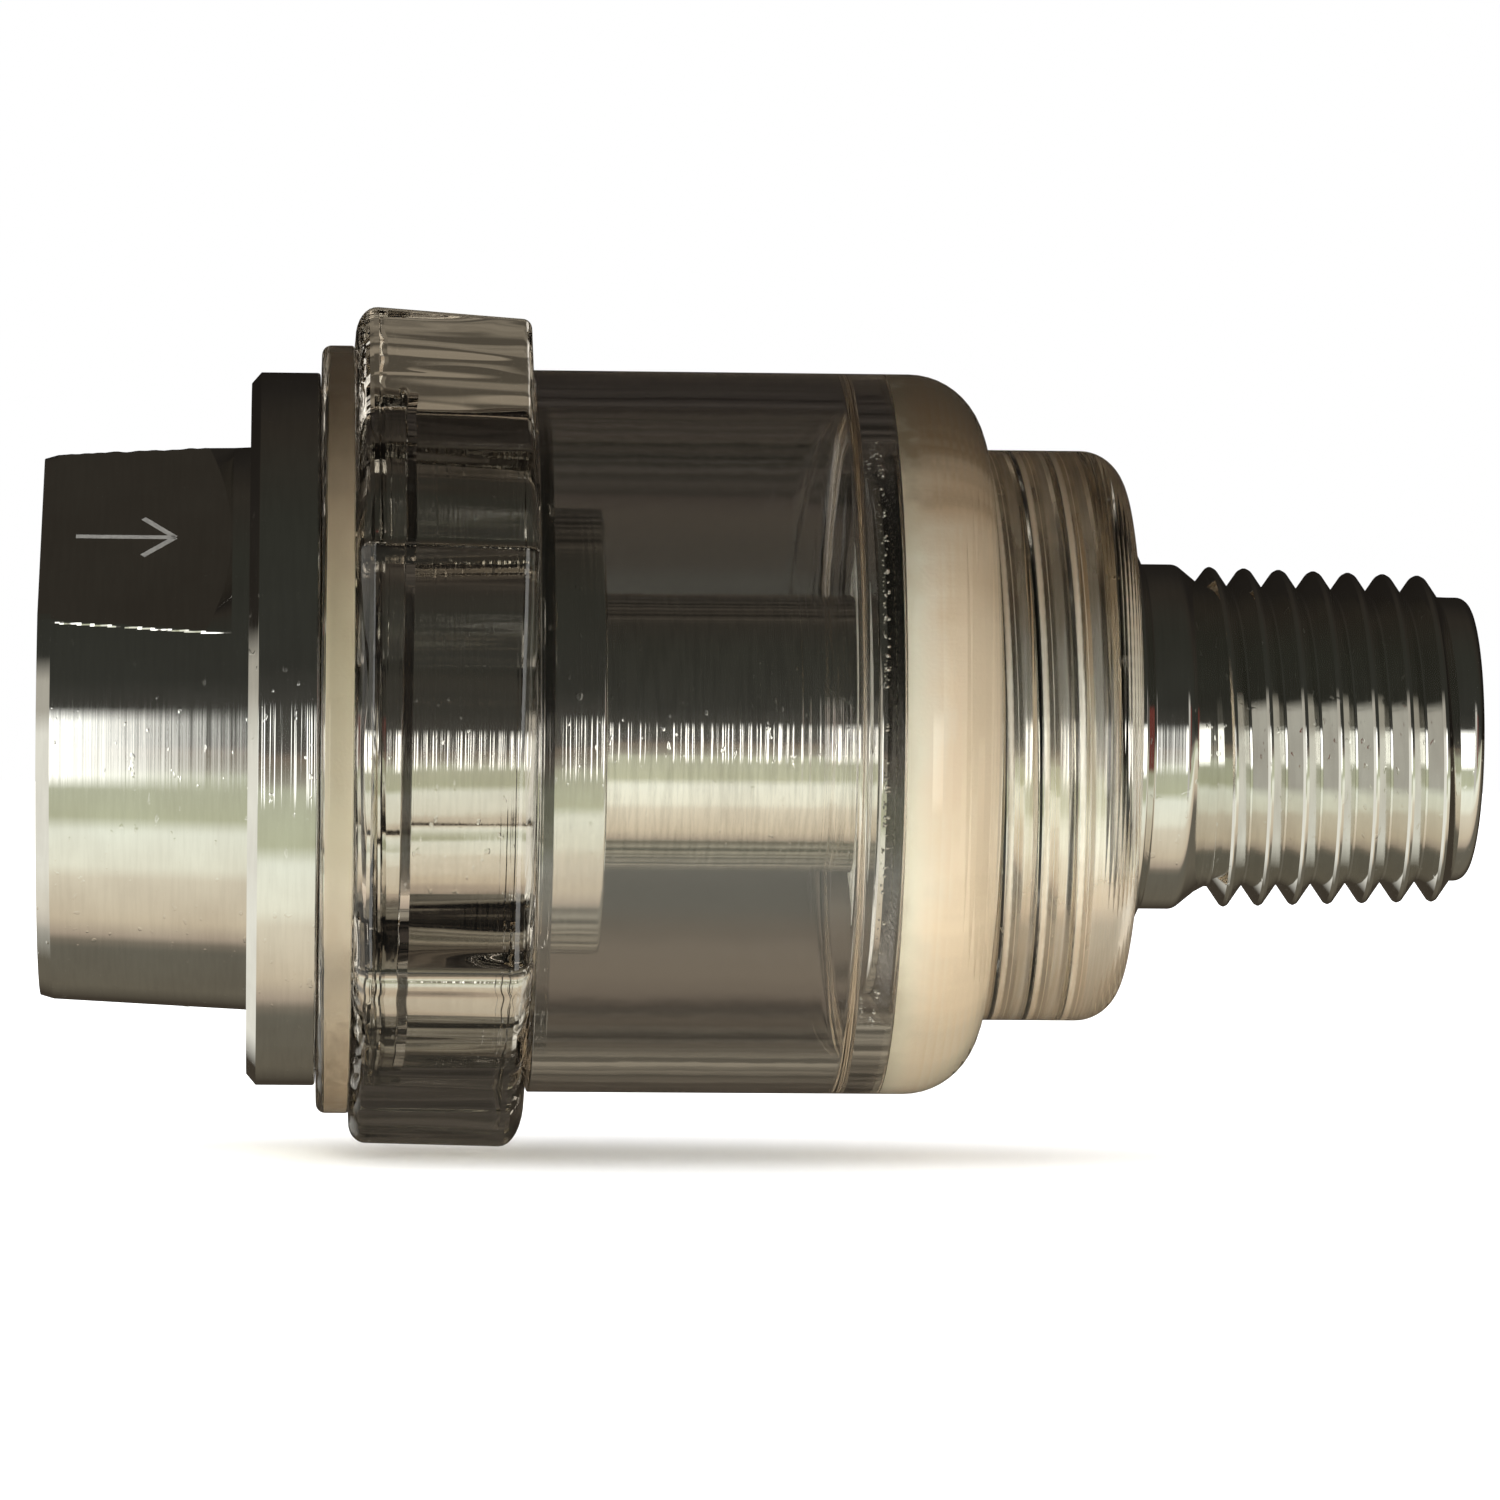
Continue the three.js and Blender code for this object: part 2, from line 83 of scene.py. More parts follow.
# The inlet fitting: a hub with two spanner flats, a flange, a short thread and a spigot.
HUB_RIM_RADIUS = 10.3  # at the inlet's face
HUB_RADIUS = 10.7  # at the flange
HUB_END = 7.8
FLAT_APOTHEM = 8.9
FLAT_ANGLE = 53  # degrees
FLAT_REACH = 7.1  # how far the flats reach along X
FLAT_CUTTER = 20  # radius of the round end that the milling cutter leaves
FLANGE_RADIUS = INLET_HIGH.y
FLANGE_END = 10.4
COLLAR_RADIUS = 8.85  # inside the inlet seal
SPIGOT_START = 13.7
SPIGOT_RADIUS = 8.5
SPIGOT_BORE = 7.2
CLIP_GROOVE = (19.7, 20.4)
CLIP_GROOVE_RADIUS = 7.55
INLET_BORE = 6.9
INLET_BORE_ENDS = (10.6, 16.6)
INLET_PORT_END = 9.4
INLET_MINOR = 5.72

BOWL_PITCH = 1.0
BOWL_THREAD = (11.7, 13.4)
BOWL_THREAD_ROOT = 9.2
BOWL_THREAD_CREST = 9.78
BOWL_RIDGE = (12.05, 13.35)  # first and last middle of the ridge

# The inlet seal and its recess in the cap.
SEAL_BORE = 8.9
SEAL_RADIUS = 10.15
SEAL_END = 11.65
WET = 0.05  # how far wetted plastic reaches into the metal

# The cap with its milled grip.
CAP_FLANGE_RADIUS = CAP_HIGH.y
HEX_START = 11.7
HEX_END = BOWL_LOW.x - 0.05
HEX_APOTHEM = 13.85
HEX_ROUND = 0.55
HEX_ANGLE = 25.5  # degrees
HEX_TAPER = 0.024  # radius that the milled grip loses per millimetre
HEX_SINK = 0.045  # how far its centre line falls per millimetre

# The bowl and its neck.
BOWL_RADIUS = BOWL_HIGH.y
CAVITY_RADIUS = 12.4
CAVITY_END = 30.5
RECESS_RADIUS = 11.2
NECK_START = 35.6
NECK_RADIUS = 10.9
NECK_BORE = 7.3  # sealant wets the neck's plastic, so it meets the metal thread all over
SEAL_POCKET = (32.0, 33.6)
SEAL_POCKET_RADIUS = 9.9

# The outlet fitting: an inner flange, a thread in the neck, a bead, a shank and a taper thread.
OUTLET_FLANGE = OUTLET_LOW.x
OUTLET_FLANGE_END = 31.95
OUTLET_FLANGE_RADIUS = 9.9
OUTLET_SOCKET = (33.4, 34.6)  # where its wide bore ends and starts to narrow
NECK_THREAD = (33.9, 40.7)
NECK_THREAD_MAJOR = 8.33
PIPE_PITCH = 1.337
PIPE_DEPTH = 0.8
BEAD_START = 41.2
SHANK = (41.75, 43.1)
OUTLET_THREAD = (44.3, 53.6)
OUTLET_THREAD_MAJOR = 6.53
PIPE_TAPER = 1 / 32
OUTLET_BORE = 4.2
OUTLET_BORE_START = 36.4

SLEEVE_RADIUS = span("core_sleeve")[1].y


# ---------------------------------------------------------------- mesh helpers

def even_angles(count=SIDES):
    return [i * math.tau / count for i in range(count)]


def shade(mesh):
    mesh.shade_smooth()
    mesh.set_sharp_from_angle(angle=SHARP)


def finished(name, graph):
    """A new object from a bmesh, facing out, smooth except at its crisp edges."""
    bmesh.ops.remove_doubles(graph, verts=graph.verts, dist=1e-8)
    bmesh.ops.dissolve_degenerate(graph, dist=1e-9, edges=graph.edges)
    bmesh.ops.recalc_face_normals(graph, faces=graph.faces)
    mesh = bpy.data.meshes.new(name)
    graph.to_mesh(mesh)
    graph.free()
    shade(mesh)
    piece = bpy.data.objects.new(name, mesh)
    bpy.context.scene.collection.objects.link(piece)
    return piece


def spun(outline_at, angles):
    """A closed bmesh round X. outline_at(angle) gives a closed outline of [x, radius] corners."""
    graph = bmesh.new()
    rings = []
    for angle in angles:
        ring = []
        for x, radius in outline_at(angle):
            spot = Vector((x, -radius * math.cos(angle), radius * math.sin(angle)))
            ring.append(graph.verts.new(spot * MM))
        rings.append(ring)
    corners = len(rings[0])
    for i, ring in enumerate(rings):
        after = rings[(i + 1) % len(rings)]
        for j in range(corners):
            k = (j + 1) % corners
            graph.faces.new((ring[j], ring[k], after[k], after[j]))
    return graph


def turned(name, outline, sides=SIDES):
    """A piece turned about X from one closed outline of [x, radius] corners."""
    points = supported(outline)
    return finished(name, spun(lambda angle: points, even_angles(sides)))


def filleted(corners, steps=8):
    """An outline from (x, radius, fillet) corners, with each fillet as a round arc."""
    outline = []
    count = len(corners)
    for i, (x, radius, fillet) in enumerate(corners):
        here = Vector((x, radius))
        if fillet <= 0:
            outline.append((x, radius))
            continue
        back = (Vector(corners[i - 1][:2]) - here).normalized()
        ahead = (Vector(corners[(i + 1) % count][:2]) - here).normalized()
        half = back.angle(ahead) / 2
        middle = here + (back + ahead).normalized() * (fillet / math.sin(half))
        first = here + back * (fillet / math.tan(half)) - middle
        last = here + ahead * (fillet / math.tan(half)) - middle
        for step in range(steps + 1):
            outline.append(tuple(middle + first.slerp(last, step / steps) * fillet))
    return outline


def supported(outline, closed=True):
    """The outline with a point close to both ends of each long run, so that runs shade straight."""
    near = 0.03
    shortest = 0.15
    result = []
    for i, here in enumerate(outline):
        result.append(here)
        if i == len(outline) - 1 and not closed:
            break
        after = outline[(i + 1) % len(outline)]
        length = math.dist(here, after)
        if length < shortest:
            continue
        for share in (near / length, 1 - near / length):
            result.append(tuple(a + (b - a) * share for a, b in zip(here, after)))
    return result


def bar_ridge(name, start, end, pitch, foot, crest, foot_width, crest_width, taper=0.0, steps=96):
    """A right-handed thread ridge about X, sunk at its foot and fading out at both ends."""
    graph = bmesh.new()
    count = round((end - start) / pitch * steps)
    fade = steps / 4
    least_rise = 0.03
    shoulder = (foot_width * 0.12 + crest_width * 0.88) / 2
    sections = []
    for i in range(count + 1):
        angle = i * math.tau / steps
        x = start + i * pitch / steps
        lost = taper * (x - start)
        rise = max(least_rise, min(1, i / fade, (count - i) / fade))
        top = foot + (crest - foot) * rise
        near_top = foot + (crest - foot) * rise * 0.94
        section = []
        for offset, radius in (
            (-foot_width / 2, foot),
            (-shoulder, near_top),
            (-crest_width / 4, top),
            (crest_width / 4, top),
            (shoulder, near_top),
            (foot_width / 2, foot),
        ):
            reach = radius - lost
            spot = Vector((x + offset, reach * math.cos(angle), reach * math.sin(angle)))
            section.append(graph.verts.new(spot * MM))
        sections.append(section)
    for section, after in zip(sections, sections[1:]):
        for j in range(6):
            k = (j + 1) % 6
            graph.faces.new((section[j], after[j], after[k], section[k]))
    graph.faces.new(sections[0])
    graph.faces.new(reversed(sections[-1]))
    return finished(name, graph)


def box_bar(name, low, high, angle=0.0):
    """A plain bar between two corners in millimetres, turned about X."""
    graph = bmesh.new()
    made = bmesh.ops.create_cube(graph, size=1)["verts"]
    for vert in made:
        share = vert.co + Vector((0.5, 0.5, 0.5))
        spot = Vector(low) + Vector([s * (h - l) for s, l, h in zip(share, low, high)])
        across = spot.y * math.cos(angle) - spot.z * math.sin(angle)
        upward = spot.y * math.sin(angle) + spot.z * math.cos(angle)
        vert.co = Vector((spot.x, across, upward)) * MM
    return finished(name, graph)


def combine(piece, tool, operation):
    """Joins the tool to the piece or cuts it away, and removes the tool."""
    modifier = piece.modifiers.new("combine", "BOOLEAN")
    modifier.solver = "MANIFOLD"
    modifier.operation = operation
    modifier.object = tool
    graph = bpy.context.evaluated_depsgraph_get()
    mesh = bpy.data.meshes.new_from_object(piece.evaluated_get(graph))
    piece.modifiers.clear()
    piece.data = mesh
    shade(mesh)
    bpy.data.objects.remove(tool)


# ---------------------------------------------------------------- material helpers

def linear(red, green, blue):
    """Scene-linear colour from screen values of 0 to 255."""
    def one(value):
        share = value / 255
        return share / 12.92 if share <= 0.04045 else ((share + 0.055) / 1.055) ** 2.4
    return one(red), one(green), one(blue), 1.0


class Nodes:
    """A node tree under construction, with short calls for its usual parts."""

    def __init__(self, tree):
        self.tree = tree

    def add(self, kind, **settings):
        node = self.tree.nodes.new(kind)
        for key, value in settings.items():
            setattr(node, key, value)
        return node

    def join(self, output, target):
        self.tree.links.new(output, target)

    def feed(self, socket, value):
        """Gives a socket a constant or the output of another node."""
        if isinstance(value, bpy.types.NodeSocket):
            self.join(value, socket)
        else:
            socket.default_value = value

    def maths(self, operation, first, second=0.0):
        node = self.add("ShaderNodeMath", operation=operation)
        self.feed(node.inputs[0], first)
        self.feed(node.inputs[1], second)
        return node.outputs[0]

    def range(self, source, low, high, to_low, to_high):
        node = self.add("ShaderNodeMapRange")
        limits = {"From Min": low, "From Max": high, "To Min": to_low, "To Max": to_high}
        for name, value in limits.items():
            node.inputs[name].default_value = value
        self.join(source, node.inputs["Value"])
        return node.outputs["Result"]

    def between(self, value, low, high, soft):
        """1 where value lies between low and high, falling to 0 over a soft edge."""
        rise = self.maths("DIVIDE", self.maths("SUBTRACT", value, low - soft), soft)
        fall = self.maths("DIVIDE", self.maths("SUBTRACT", high + soft, value), soft)
        share = self.add("ShaderNodeClamp")
        self.join(self.maths("MINIMUM", rise, fall), share.inputs["Value"])
        return share.outputs[0]

    def ramp(self, source, stops):
        """A colour ramp through (place, colour) stops."""
        node = self.add("ShaderNodeValToRGB")
        elements = node.color_ramp.elements
        while len(elements) < len(stops):
            elements.new(0.5)
        for element, (at, colour) in zip(elements, stops):
            element.position = at
            element.color = colour
        self.join(source, node.inputs["Fac"])
        return node.outputs["Color"]

    def mixed(self, share, first, second, blend="MIX"):
        """Two colours mixed, with this share of the second one."""
        node = self.add("ShaderNodeMix", data_type="RGBA", blend_type=blend)
        self.feed(node.inputs["Factor"], share)
        self.feed(node.inputs["A"], first)
        self.feed(node.inputs["B"], second)
        return node.outputs["Result"]


class Recipe(Nodes):
    """A node material under construction."""

    def __init__(self, name):
        self.material = bpy.data.materials.new(name)
        self.material.use_nodes = True
        super().__init__(self.material.node_tree)
        self.shader = self.tree.nodes["Principled BSDF"]
        self.place = self.add("ShaderNodeTexCoord").outputs["Object"]

    def split(self):
        """The X, Y and Z of the place on the object, in metres."""
        node = self.add("ShaderNodeSeparateXYZ")
        self.join(self.place, node.inputs[0])
        return node.outputs[0], node.outputs[1], node.outputs[2]

    def stretched(self, along, across):
        """Object coordinates scaled per millimetre along X and across it."""
        node = self.add("ShaderNodeVectorMath", operation="MULTIPLY")
        self.join(self.place, node.inputs[0])
        node.inputs[1].default_value = (along / MM, across / MM, across / MM)
        return node.outputs[0]

    def noise(self, along, across, detail=2.0):
        """Noise whose grains are 1/along by 1/across millimetres."""
        node = self.add("ShaderNodeTexNoise")
        node.inputs["Scale"].default_value = 1.0
        node.inputs["Detail"].default_value = detail
        self.join(self.stretched(along, across), node.inputs["Vector"])
        return node.outputs["Fac"]

    def wandering(self, place, mottle, reach):
        """The place from 0 to 1, moved to and fro by a mottle, so that its edges wander."""
        return self.maths("ADD", place, self.range(mottle, 0.3, 0.7, -reach, reach))

    def multiplied(self, first, second):
        return self.mixed(1.0, first, second, "MULTIPLY")

    def bump(self, height, depth, after=None):
        """A bump whose height of 1 stands depth millimetres proud."""
        node = self.add("ShaderNodeBump")
        node.inputs["Strength"].default_value = 1.0
        node.inputs["Distance"].default_value = depth * MM
        self.join(height, node.inputs["Height"])
        if after is not None:
            self.join(after, node.inputs["Normal"])
        return node.outputs["Normal"]

    def set(self, **values):
        for key, value in values.items():
            self.shader.inputs[key.replace("_", " ")].default_value = value

    def drive(self, socket, output):
        self.join(output, self.shader.inputs[socket])


def grey(value):
    return value, value, value, 1


def metal(name, tone, dull, groove_depth, fine_depth, smooth=0.04, rough=0.1, coarse_from=None,
          brushed=0.95):
    """Bright turned metal: rings of fine tool marks about X, faint stains and small pits.
    With coarse_from, the coarse marks only start at that station.
    """
    recipe = Recipe(name)
    recipe.set(Metallic=1.0)
    stain = recipe.ramp(recipe.noise(0.35, 0.35, detail=4), [(0.35, dull), (0.62, tone)])
    brush = recipe.ramp(recipe.noise(6.0, 0.5, detail=3), [(0.35, grey(brushed)), (0.6, grey(1))])
    recipe.drive("Base Color", recipe.multiplied(stain, brush))
    marks = recipe.noise(5.0, 0.05, detail=2)
    if coarse_from is not None:
        along = recipe.split()[0]
        start = coarse_from * MM
        marks = recipe.maths("MULTIPLY", marks, recipe.range(along, start, start + 0.2 * MM, 0.03, 1))
    fine = recipe.noise(14.0, 0.12, detail=2)
    specks = recipe.noise(3.5, 2.0, detail=1)
    pits = recipe.range(specks, 0.7, 0.76, 0, 1)
    wear = recipe.range(fine, 0.35, 0.7, smooth, rough)
    recipe.drive("Roughness", recipe.maths("ADD", wear, recipe.maths("MULTIPLY", pits, 0.15)))
    normal = recipe.bump(marks, groove_depth)
    normal = recipe.bump(fine, fine_depth, normal)
    recipe.drive("Normal", recipe.bump(pits, 0.004, normal))
    return recipe.material


def clear_plastic(name, waves=0.0):
    """Clear, faintly brown plastic with a gentle waviness and fine surface scratches.
    Waves are hand-polishing marks that run along X, this many millimetres high.
    """
    recipe = Recipe(name)
    recipe.set(
        Base_Color=(1.0, 0.99, 0.98, 1), Transmission_Weight=1.0, IOR=1.57, Specular_IOR_Level=0.1,
        Sheen_Weight=0.04, Sheen_Roughness=0.3, Sheen_Tint=(0.85, 0.68, 0.5, 1),
    )
    smear = recipe.noise(0.25, 0.25, detail=3)
    scratches = recipe.noise(3.0, 0.35, detail=3)
    recipe.drive("Roughness", recipe.range(smear, 0.4, 0.75, 0.0, 0.03))
    normal = recipe.bump(smear, 0.008)
    if waves:
        away = recipe.maths("ABSOLUTE", recipe.split()[2])
        stronger = recipe.range(away, 6 * MM, 9 * MM, 1, 7)  # towards the top and the bottom
        polish = recipe.maths("MULTIPLY", recipe.noise(0.07, 0.45, detail=1), stronger)
        normal = recipe.bump(polish, waves, normal)
    recipe.drive("Normal", recipe.bump(scratches, 0.0004, normal))
    absorption = recipe.add("ShaderNodeVolumeAbsorption")
    absorption.inputs["Color"].default_value = (0.80, 0.62, 0.45, 1)
    absorption.inputs["Density"].default_value = 12.0
    recipe.join(absorption.outputs[0], recipe.tree.nodes["Material Output"].inputs["Volume"])
    return recipe.material


def seal_rubber(name):
    """Cream seal rubber: mottled, with painted shade that darkens it to brown towards the top and
    bottom and a painted lighter band low down, and shiny where grease wets it.
    """
    recipe = Recipe(name)
    mottle = recipe.noise(1.2, 0.7, detail=4)
    height = recipe.range(recipe.split()[2], -10.1 * MM, 10.1 * MM, 0, 1)
    place = recipe.wandering(height, mottle, 0.03)
    # Painted shade and light: the colour is lightest a little above the bottom and darkens to brown
    # towards the top and the bottom.
    recipe.drive("Base Color", recipe.ramp(place, [
        (0.0, (0.45, 0.36, 0.26, 1)), (0.06, (0.85, 0.75, 0.60, 1)), (0.2, (1.0, 0.92, 0.78, 1)),
        (0.4, (0.92, 0.86, 0.68, 1)), (0.6, (0.88, 0.81, 0.60, 1)), (0.85, (0.66, 0.55, 0.40, 1)),
        (1.0, (0.40, 0.32, 0.23, 1)),
    ]))
    recipe.drive("Metallic", recipe.ramp(place, [
        (0.0, grey(0)), (0.12, grey(0.6)), (0.3, grey(0.5)), (0.5, grey(0)),
    ]))
    recipe.drive("Roughness", recipe.range(mottle, 0.3, 0.7, 0.3, 0.45))
    recipe.drive("Normal", recipe.bump(recipe.noise(8, 8, detail=3), 0.01))
    return recipe.material


def bubbly(name):
    """Clear cured sealant, rough with tiny trapped bubbles."""
    recipe = Recipe(name)
    recipe.set(Base_Color=(0.96, 0.93, 0.88, 1), Transmission_Weight=1.0, IOR=1.45)
    bubbles = recipe.noise(5.0, 5.0, detail=2)
    recipe.drive("Roughness", recipe.range(bubbles, 0.5, 0.65, 0.0, 0.15))
    recipe.drive("Normal", recipe.bump(bubbles, 0.06))
    return recipe.material


def washer(name):
    """Cream washer rubber, warmer towards the neck, with a painted reflection that makes it paler
    towards the flange and painted shade that darkens it towards the top and bottom.
    """
    recipe = Recipe(name)
    along, _, height = recipe.split()
    mottle = recipe.noise(0.5, 0.5, detail=4)
    place = recipe.range(along, SEAL_POCKET[0] * MM, (SEAL_POCKET[1] + 0.1) * MM, 0, 1)
    place = recipe.wandering(place, mottle, 0.12)
    # Painted reflection: the pale, greenish tone towards the flange. The warmer tone towards the neck
    # is the rubber's own colour.
    tone = recipe.ramp(place, [
        (0.25, (0.88, 0.86, 0.74, 1)), (0.55, (0.86, 0.78, 0.65, 1)), (0.8, (0.82, 0.69, 0.53, 1)),
    ])
    level = recipe.range(height, -SEAL_POCKET_RADIUS * MM, SEAL_POCKET_RADIUS * MM, 0, 1)
    # Painted shade: the colour darkens and browns towards the top, and is darker and greyer towards the
    # bottom.
    shade = recipe.ramp(recipe.wandering(level, mottle, 0.08), [
        (0.0, (0.62, 0.60, 0.57, 1)), (0.25, grey(0.92)), (0.7, grey(1)),
        (0.9, (0.80, 0.73, 0.65, 1)), (1.0, (0.45, 0.38, 0.31, 1)),
    ])
    recipe.drive("Base Color", recipe.multiplied(tone, shade))
    recipe.drive("Roughness", recipe.range(mottle, 0.3, 0.7, 0.42, 0.6))
    recipe.drive("Normal", recipe.bump(recipe.noise(8, 8, detail=3), 0.01))
    return recipe.material


def moulded(name, pale, deep):
    """Moulded matt plastic with a fine spark-eroded texture."""
    recipe = Recipe(name)
    tint = recipe.noise(0.5, 0.5, detail=3)
    recipe.drive("Base Color", recipe.ramp(tint, [(0.35, deep), (0.65, pale)]))
    recipe.drive("Roughness", recipe.range(tint, 0.3, 0.7, 0.4, 0.52))
    recipe.drive("Normal", recipe.bump(recipe.noise(12, 12, detail=2), 0.006))
    return recipe.material


def film(name):
    """Cream sealant over bright metal, thickest along the thread's crests, flanks and roots. It shows
    less metal towards the top and bottom, and painted shade darkens its colour there.
    """
    recipe = Recipe(name)
    _, across, height = recipe.split()
    mottle = recipe.noise(2.5, 0.5, detail=3)
    lines = recipe.noise(6.0, 0.08, detail=2)
    squares = recipe.maths("ADD", recipe.maths("POWER", across, 2), recipe.maths("POWER", height, 2))
    depth = recipe.maths("SUBTRACT", NECK_THREAD_MAJOR * MM, recipe.maths("SQRT", squares))
    crest = recipe.range(depth, 0.02 * MM, -0.005 * MM, 0, 0.85)
    flank = recipe.maths("ABSOLUTE", recipe.maths("SUBTRACT", depth, 0.13 * MM))
    flank = recipe.range(flank, 0.006 * MM, 0.016 * MM, 0.6, 0)
    root = recipe.range(depth, 0.25 * MM, 0.22 * MM, 0.2, 0)
    cream = recipe.maths("MAXIMUM", crest, recipe.maths("MAXIMUM", flank, root))
    level = recipe.range(height, -NECK_THREAD_MAJOR * MM, NECK_THREAD_MAJOR * MM, 0, 1)
    place = recipe.wandering(level, mottle, 0.06)
    # Less metal towards the top and bottom, so that more of the cream shows there.
    bare = recipe.ramp(place, [(0.0, grey(0.5)), (0.2, grey(0.9)), (0.8, grey(0.95)), (1.0, grey(0.6))])
    recipe.drive("Metallic", recipe.maths("MULTIPLY", bare, recipe.range(cream, 0, 1, 1, 0.15)))
    tone = recipe.ramp(lines, [(0.3, (0.80, 0.76, 0.68, 1)), (0.7, (1, 1, 0.98, 1))])
    # Painted shade: the colour darkens towards the top and the bottom.
    painted_shade = recipe.ramp(place, [
        (0.0, (0.60, 0.51, 0.42, 1)), (0.12, (0.85, 0.78, 0.70, 1)), (0.25, (1, 1, 0.97, 1)),
        (0.6, (1, 1, 0.97, 1)), (0.75, (0.90, 0.80, 0.69, 1)), (0.95, (0.80, 0.68, 0.54, 1)),
    ])
    recipe.drive("Base Color", recipe.multiplied(tone, painted_shade))
    recipe.drive("Roughness", recipe.range(lines, 0.3, 0.7, 0.08, 0.2))
    recipe.drive("Normal", recipe.bump(lines, 0.012))
    return recipe.material


def etched_metal(name):
    """The frosted, slightly paler line that an etching pen leaves."""
    recipe = Recipe(name)
    recipe.set(Metallic=0.6)
    grain = recipe.noise(9, 9, detail=3)
    tone = recipe.ramp(grain, [(0.3, (0.30, 0.29, 0.27, 1)), (0.7, (0.42, 0.41, 0.38, 1))])
    recipe.drive("Base Color", tone)
    recipe.drive("Roughness", recipe.range(grain, 0.3, 0.7, 0.5, 0.7))
    return recipe.material


PLATING = (0.80, 0.80, 0.76, 1), (0.74, 0.73, 0.69, 1)
SPIGOT = metal("plated_spigot", *PLATING, 0.02, 0.0002, coarse_from=HUB_END + 0.5)
PLATED = metal("plated_metal", *PLATING, 0.0012, 0.0005)
TURNED = metal("turned_metal", (0.97, 0.97, 0.93, 1), (0.90, 0.89, 0.85, 1), 0.02, 0.0015, brushed=0.84)
STEEL = metal("stainless", (0.72, 0.72, 0.70, 1), (0.6, 0.6, 0.58, 1), 0.004, 0.002, 0.15, 0.3)
NICKEL = metal("magnet_nickel", (0.62, 0.61, 0.57, 1), (0.5, 0.49, 0.46, 1), 0.001, 0.001, 0.15, 0.25)
ETCHED = etched_metal("etched_line")
CLEAR = clear_plastic("clear_plastic")
CLEAR_GRIP = clear_plastic("clear_plastic_grip", 0.05)
CREAM = seal_rubber("cream_rubber")
WASHER = washer("washer_rubber")
SEALANT = bubbly("clear_sealant")
FILM = film("sealant_film")
PLASTIC = moulded("white_plastic", (0.80, 0.79, 0.75, 1), (0.72, 0.71, 0.66, 1))


def stand_in(piece, material, body, slot, *nodes):
    """Gives the piece its look and its place in the frame, instead of the CAD nodes it shows."""
    piece.data.materials.clear()
    piece.data.materials.append(material)
    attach(piece, body)
    if nodes:
        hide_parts(*nodes)
    return piece


# ---------------------------------------------------------------- inlet side

def hub_radius(x):
    """The hub grows a little towards the flange."""
    return HUB_RIM_RADIUS + (HUB_RADIUS - HUB_RIM_RADIUS) * x / HUB_END


def flat_offset(angle):
    """The angle from the nearest spanner flat's normal, between -90 and 90 degrees."""
    offset = angle - math.radians(FLAT_ANGLE)
    return (offset + math.pi / 2) % math.pi - math.pi / 2


def hub_outline(angle):
    """The hub's outer outline: faced rim, spanner flat with its burr, and the end of the flat."""
    rim = 0.5
    rim_drop = 0.12
    burr_width = 0.09
    burr_height = 0.06
    wall = FLAT_REACH + 0.05
    offset = flat_offset(angle)
    cut = FLAT_APOTHEM / max(0.5, math.cos(offset))
    across = FLAT_APOTHEM * math.tan(min(abs(offset), math.radians(34)))
    end = FLAT_REACH - FLAT_CUTTER + math.sqrt(FLAT_CUTTER ** 2 - across ** 2)
    outline = [(0, min(hub_radius(0) - rim_drop, cut)), (rim, min(hub_radius(rim), cut))]
    steps = 36
    for i in range(1, steps + 1):
        x = rim + (end - rim) * i / steps
        burr = 0.0
        if 0 <= cut - hub_radius(x) < burr_width:
            burr = burr_height * max(0.2, 0.6 + noise.noise(Vector((x * 2.1, 0, 1))))
        outline.append((x, min(hub_radius(x) + burr, cut)))
    outline += [(wall, hub_radius(wall)), (HUB_END, HUB_RADIUS)]
    return outline


def inlet_angles():
    """Even angles, with close ones along the edges of the spanner flats."""
    angles = even_angles()
    for turn in (0, 180):
        for side in (-1, 1):
            for i in range(17):
                close = FLAT_ANGLE + turn + side * (30 + i * 0.25)
                angles.append(math.radians(close) % math.tau)
    return sorted(set(round(angle, 6) for angle in angles))


def inlet_fitting():
    flange = supported(filleted([
        (HUB_END, FLANGE_RADIUS - 0.42, 0.05),
        (HUB_END + 0.36, FLANGE_RADIUS, 0.05),
        (FLANGE_END, FLANGE_RADIUS, 0.12),
        (FLANGE_END, COLLAR_RADIUS, 0.1),
        (BOWL_THREAD[0], COLLAR_RADIUS, 0.05),
        (BOWL_THREAD[0], BOWL_THREAD_ROOT, 0),
        (BOWL_THREAD[1], BOWL_THREAD_ROOT, 0.05),
        (SPIGOT_START, BOWL_THREAD_ROOT - 0.3, 0.05),
        (SPIGOT_START, SPIGOT_RADIUS, 0.1),
        (INLET_HIGH.x, SPIGOT_RADIUS, 0.15),
        (INLET_HIGH.x, SPIGOT_BORE, 0.1),
        (CLIP_GROOVE[1], SPIGOT_BORE, 0),
        (CLIP_GROOVE[1], CLIP_GROOVE_RADIUS, 0),
        (CLIP_GROOVE[0], CLIP_GROOVE_RADIUS, 0),
        (CLIP_GROOVE[0], SPIGOT_BORE, 0),
        (INLET_BORE_ENDS[1], SPIGOT_BORE, 0),
        (INLET_BORE_ENDS[1], INLET_BORE, 0.05),
        (INLET_BORE_ENDS[0], INLET_BORE, 0.2),
        (INLET_PORT_END, INLET_MINOR, 0.2),
        (0.9, INLET_MINOR, 0.05),
        (0, INLET_MINOR + 0.9, 0.05),
    ]), closed=False)
    piece = finished("inlet_fitting_fine", spun(lambda a: hub_outline(a) + flange, inlet_angles()))
    combine(piece, bar_ridge(
        "inlet_thread", 1.4, 7.4, PIPE_PITCH, INLET_MINOR - 0.25, INLET_MINOR + PIPE_DEPTH, 1.2, 0.2,
    ), "DIFFERENCE")
    combine(piece, bar_ridge(
        "bowl_thread", *BOWL_RIDGE, BOWL_PITCH, BOWL_THREAD_ROOT - 0.2, BOWL_THREAD_CREST, 0.62, 0.2,
    ), "UNION")
    return piece


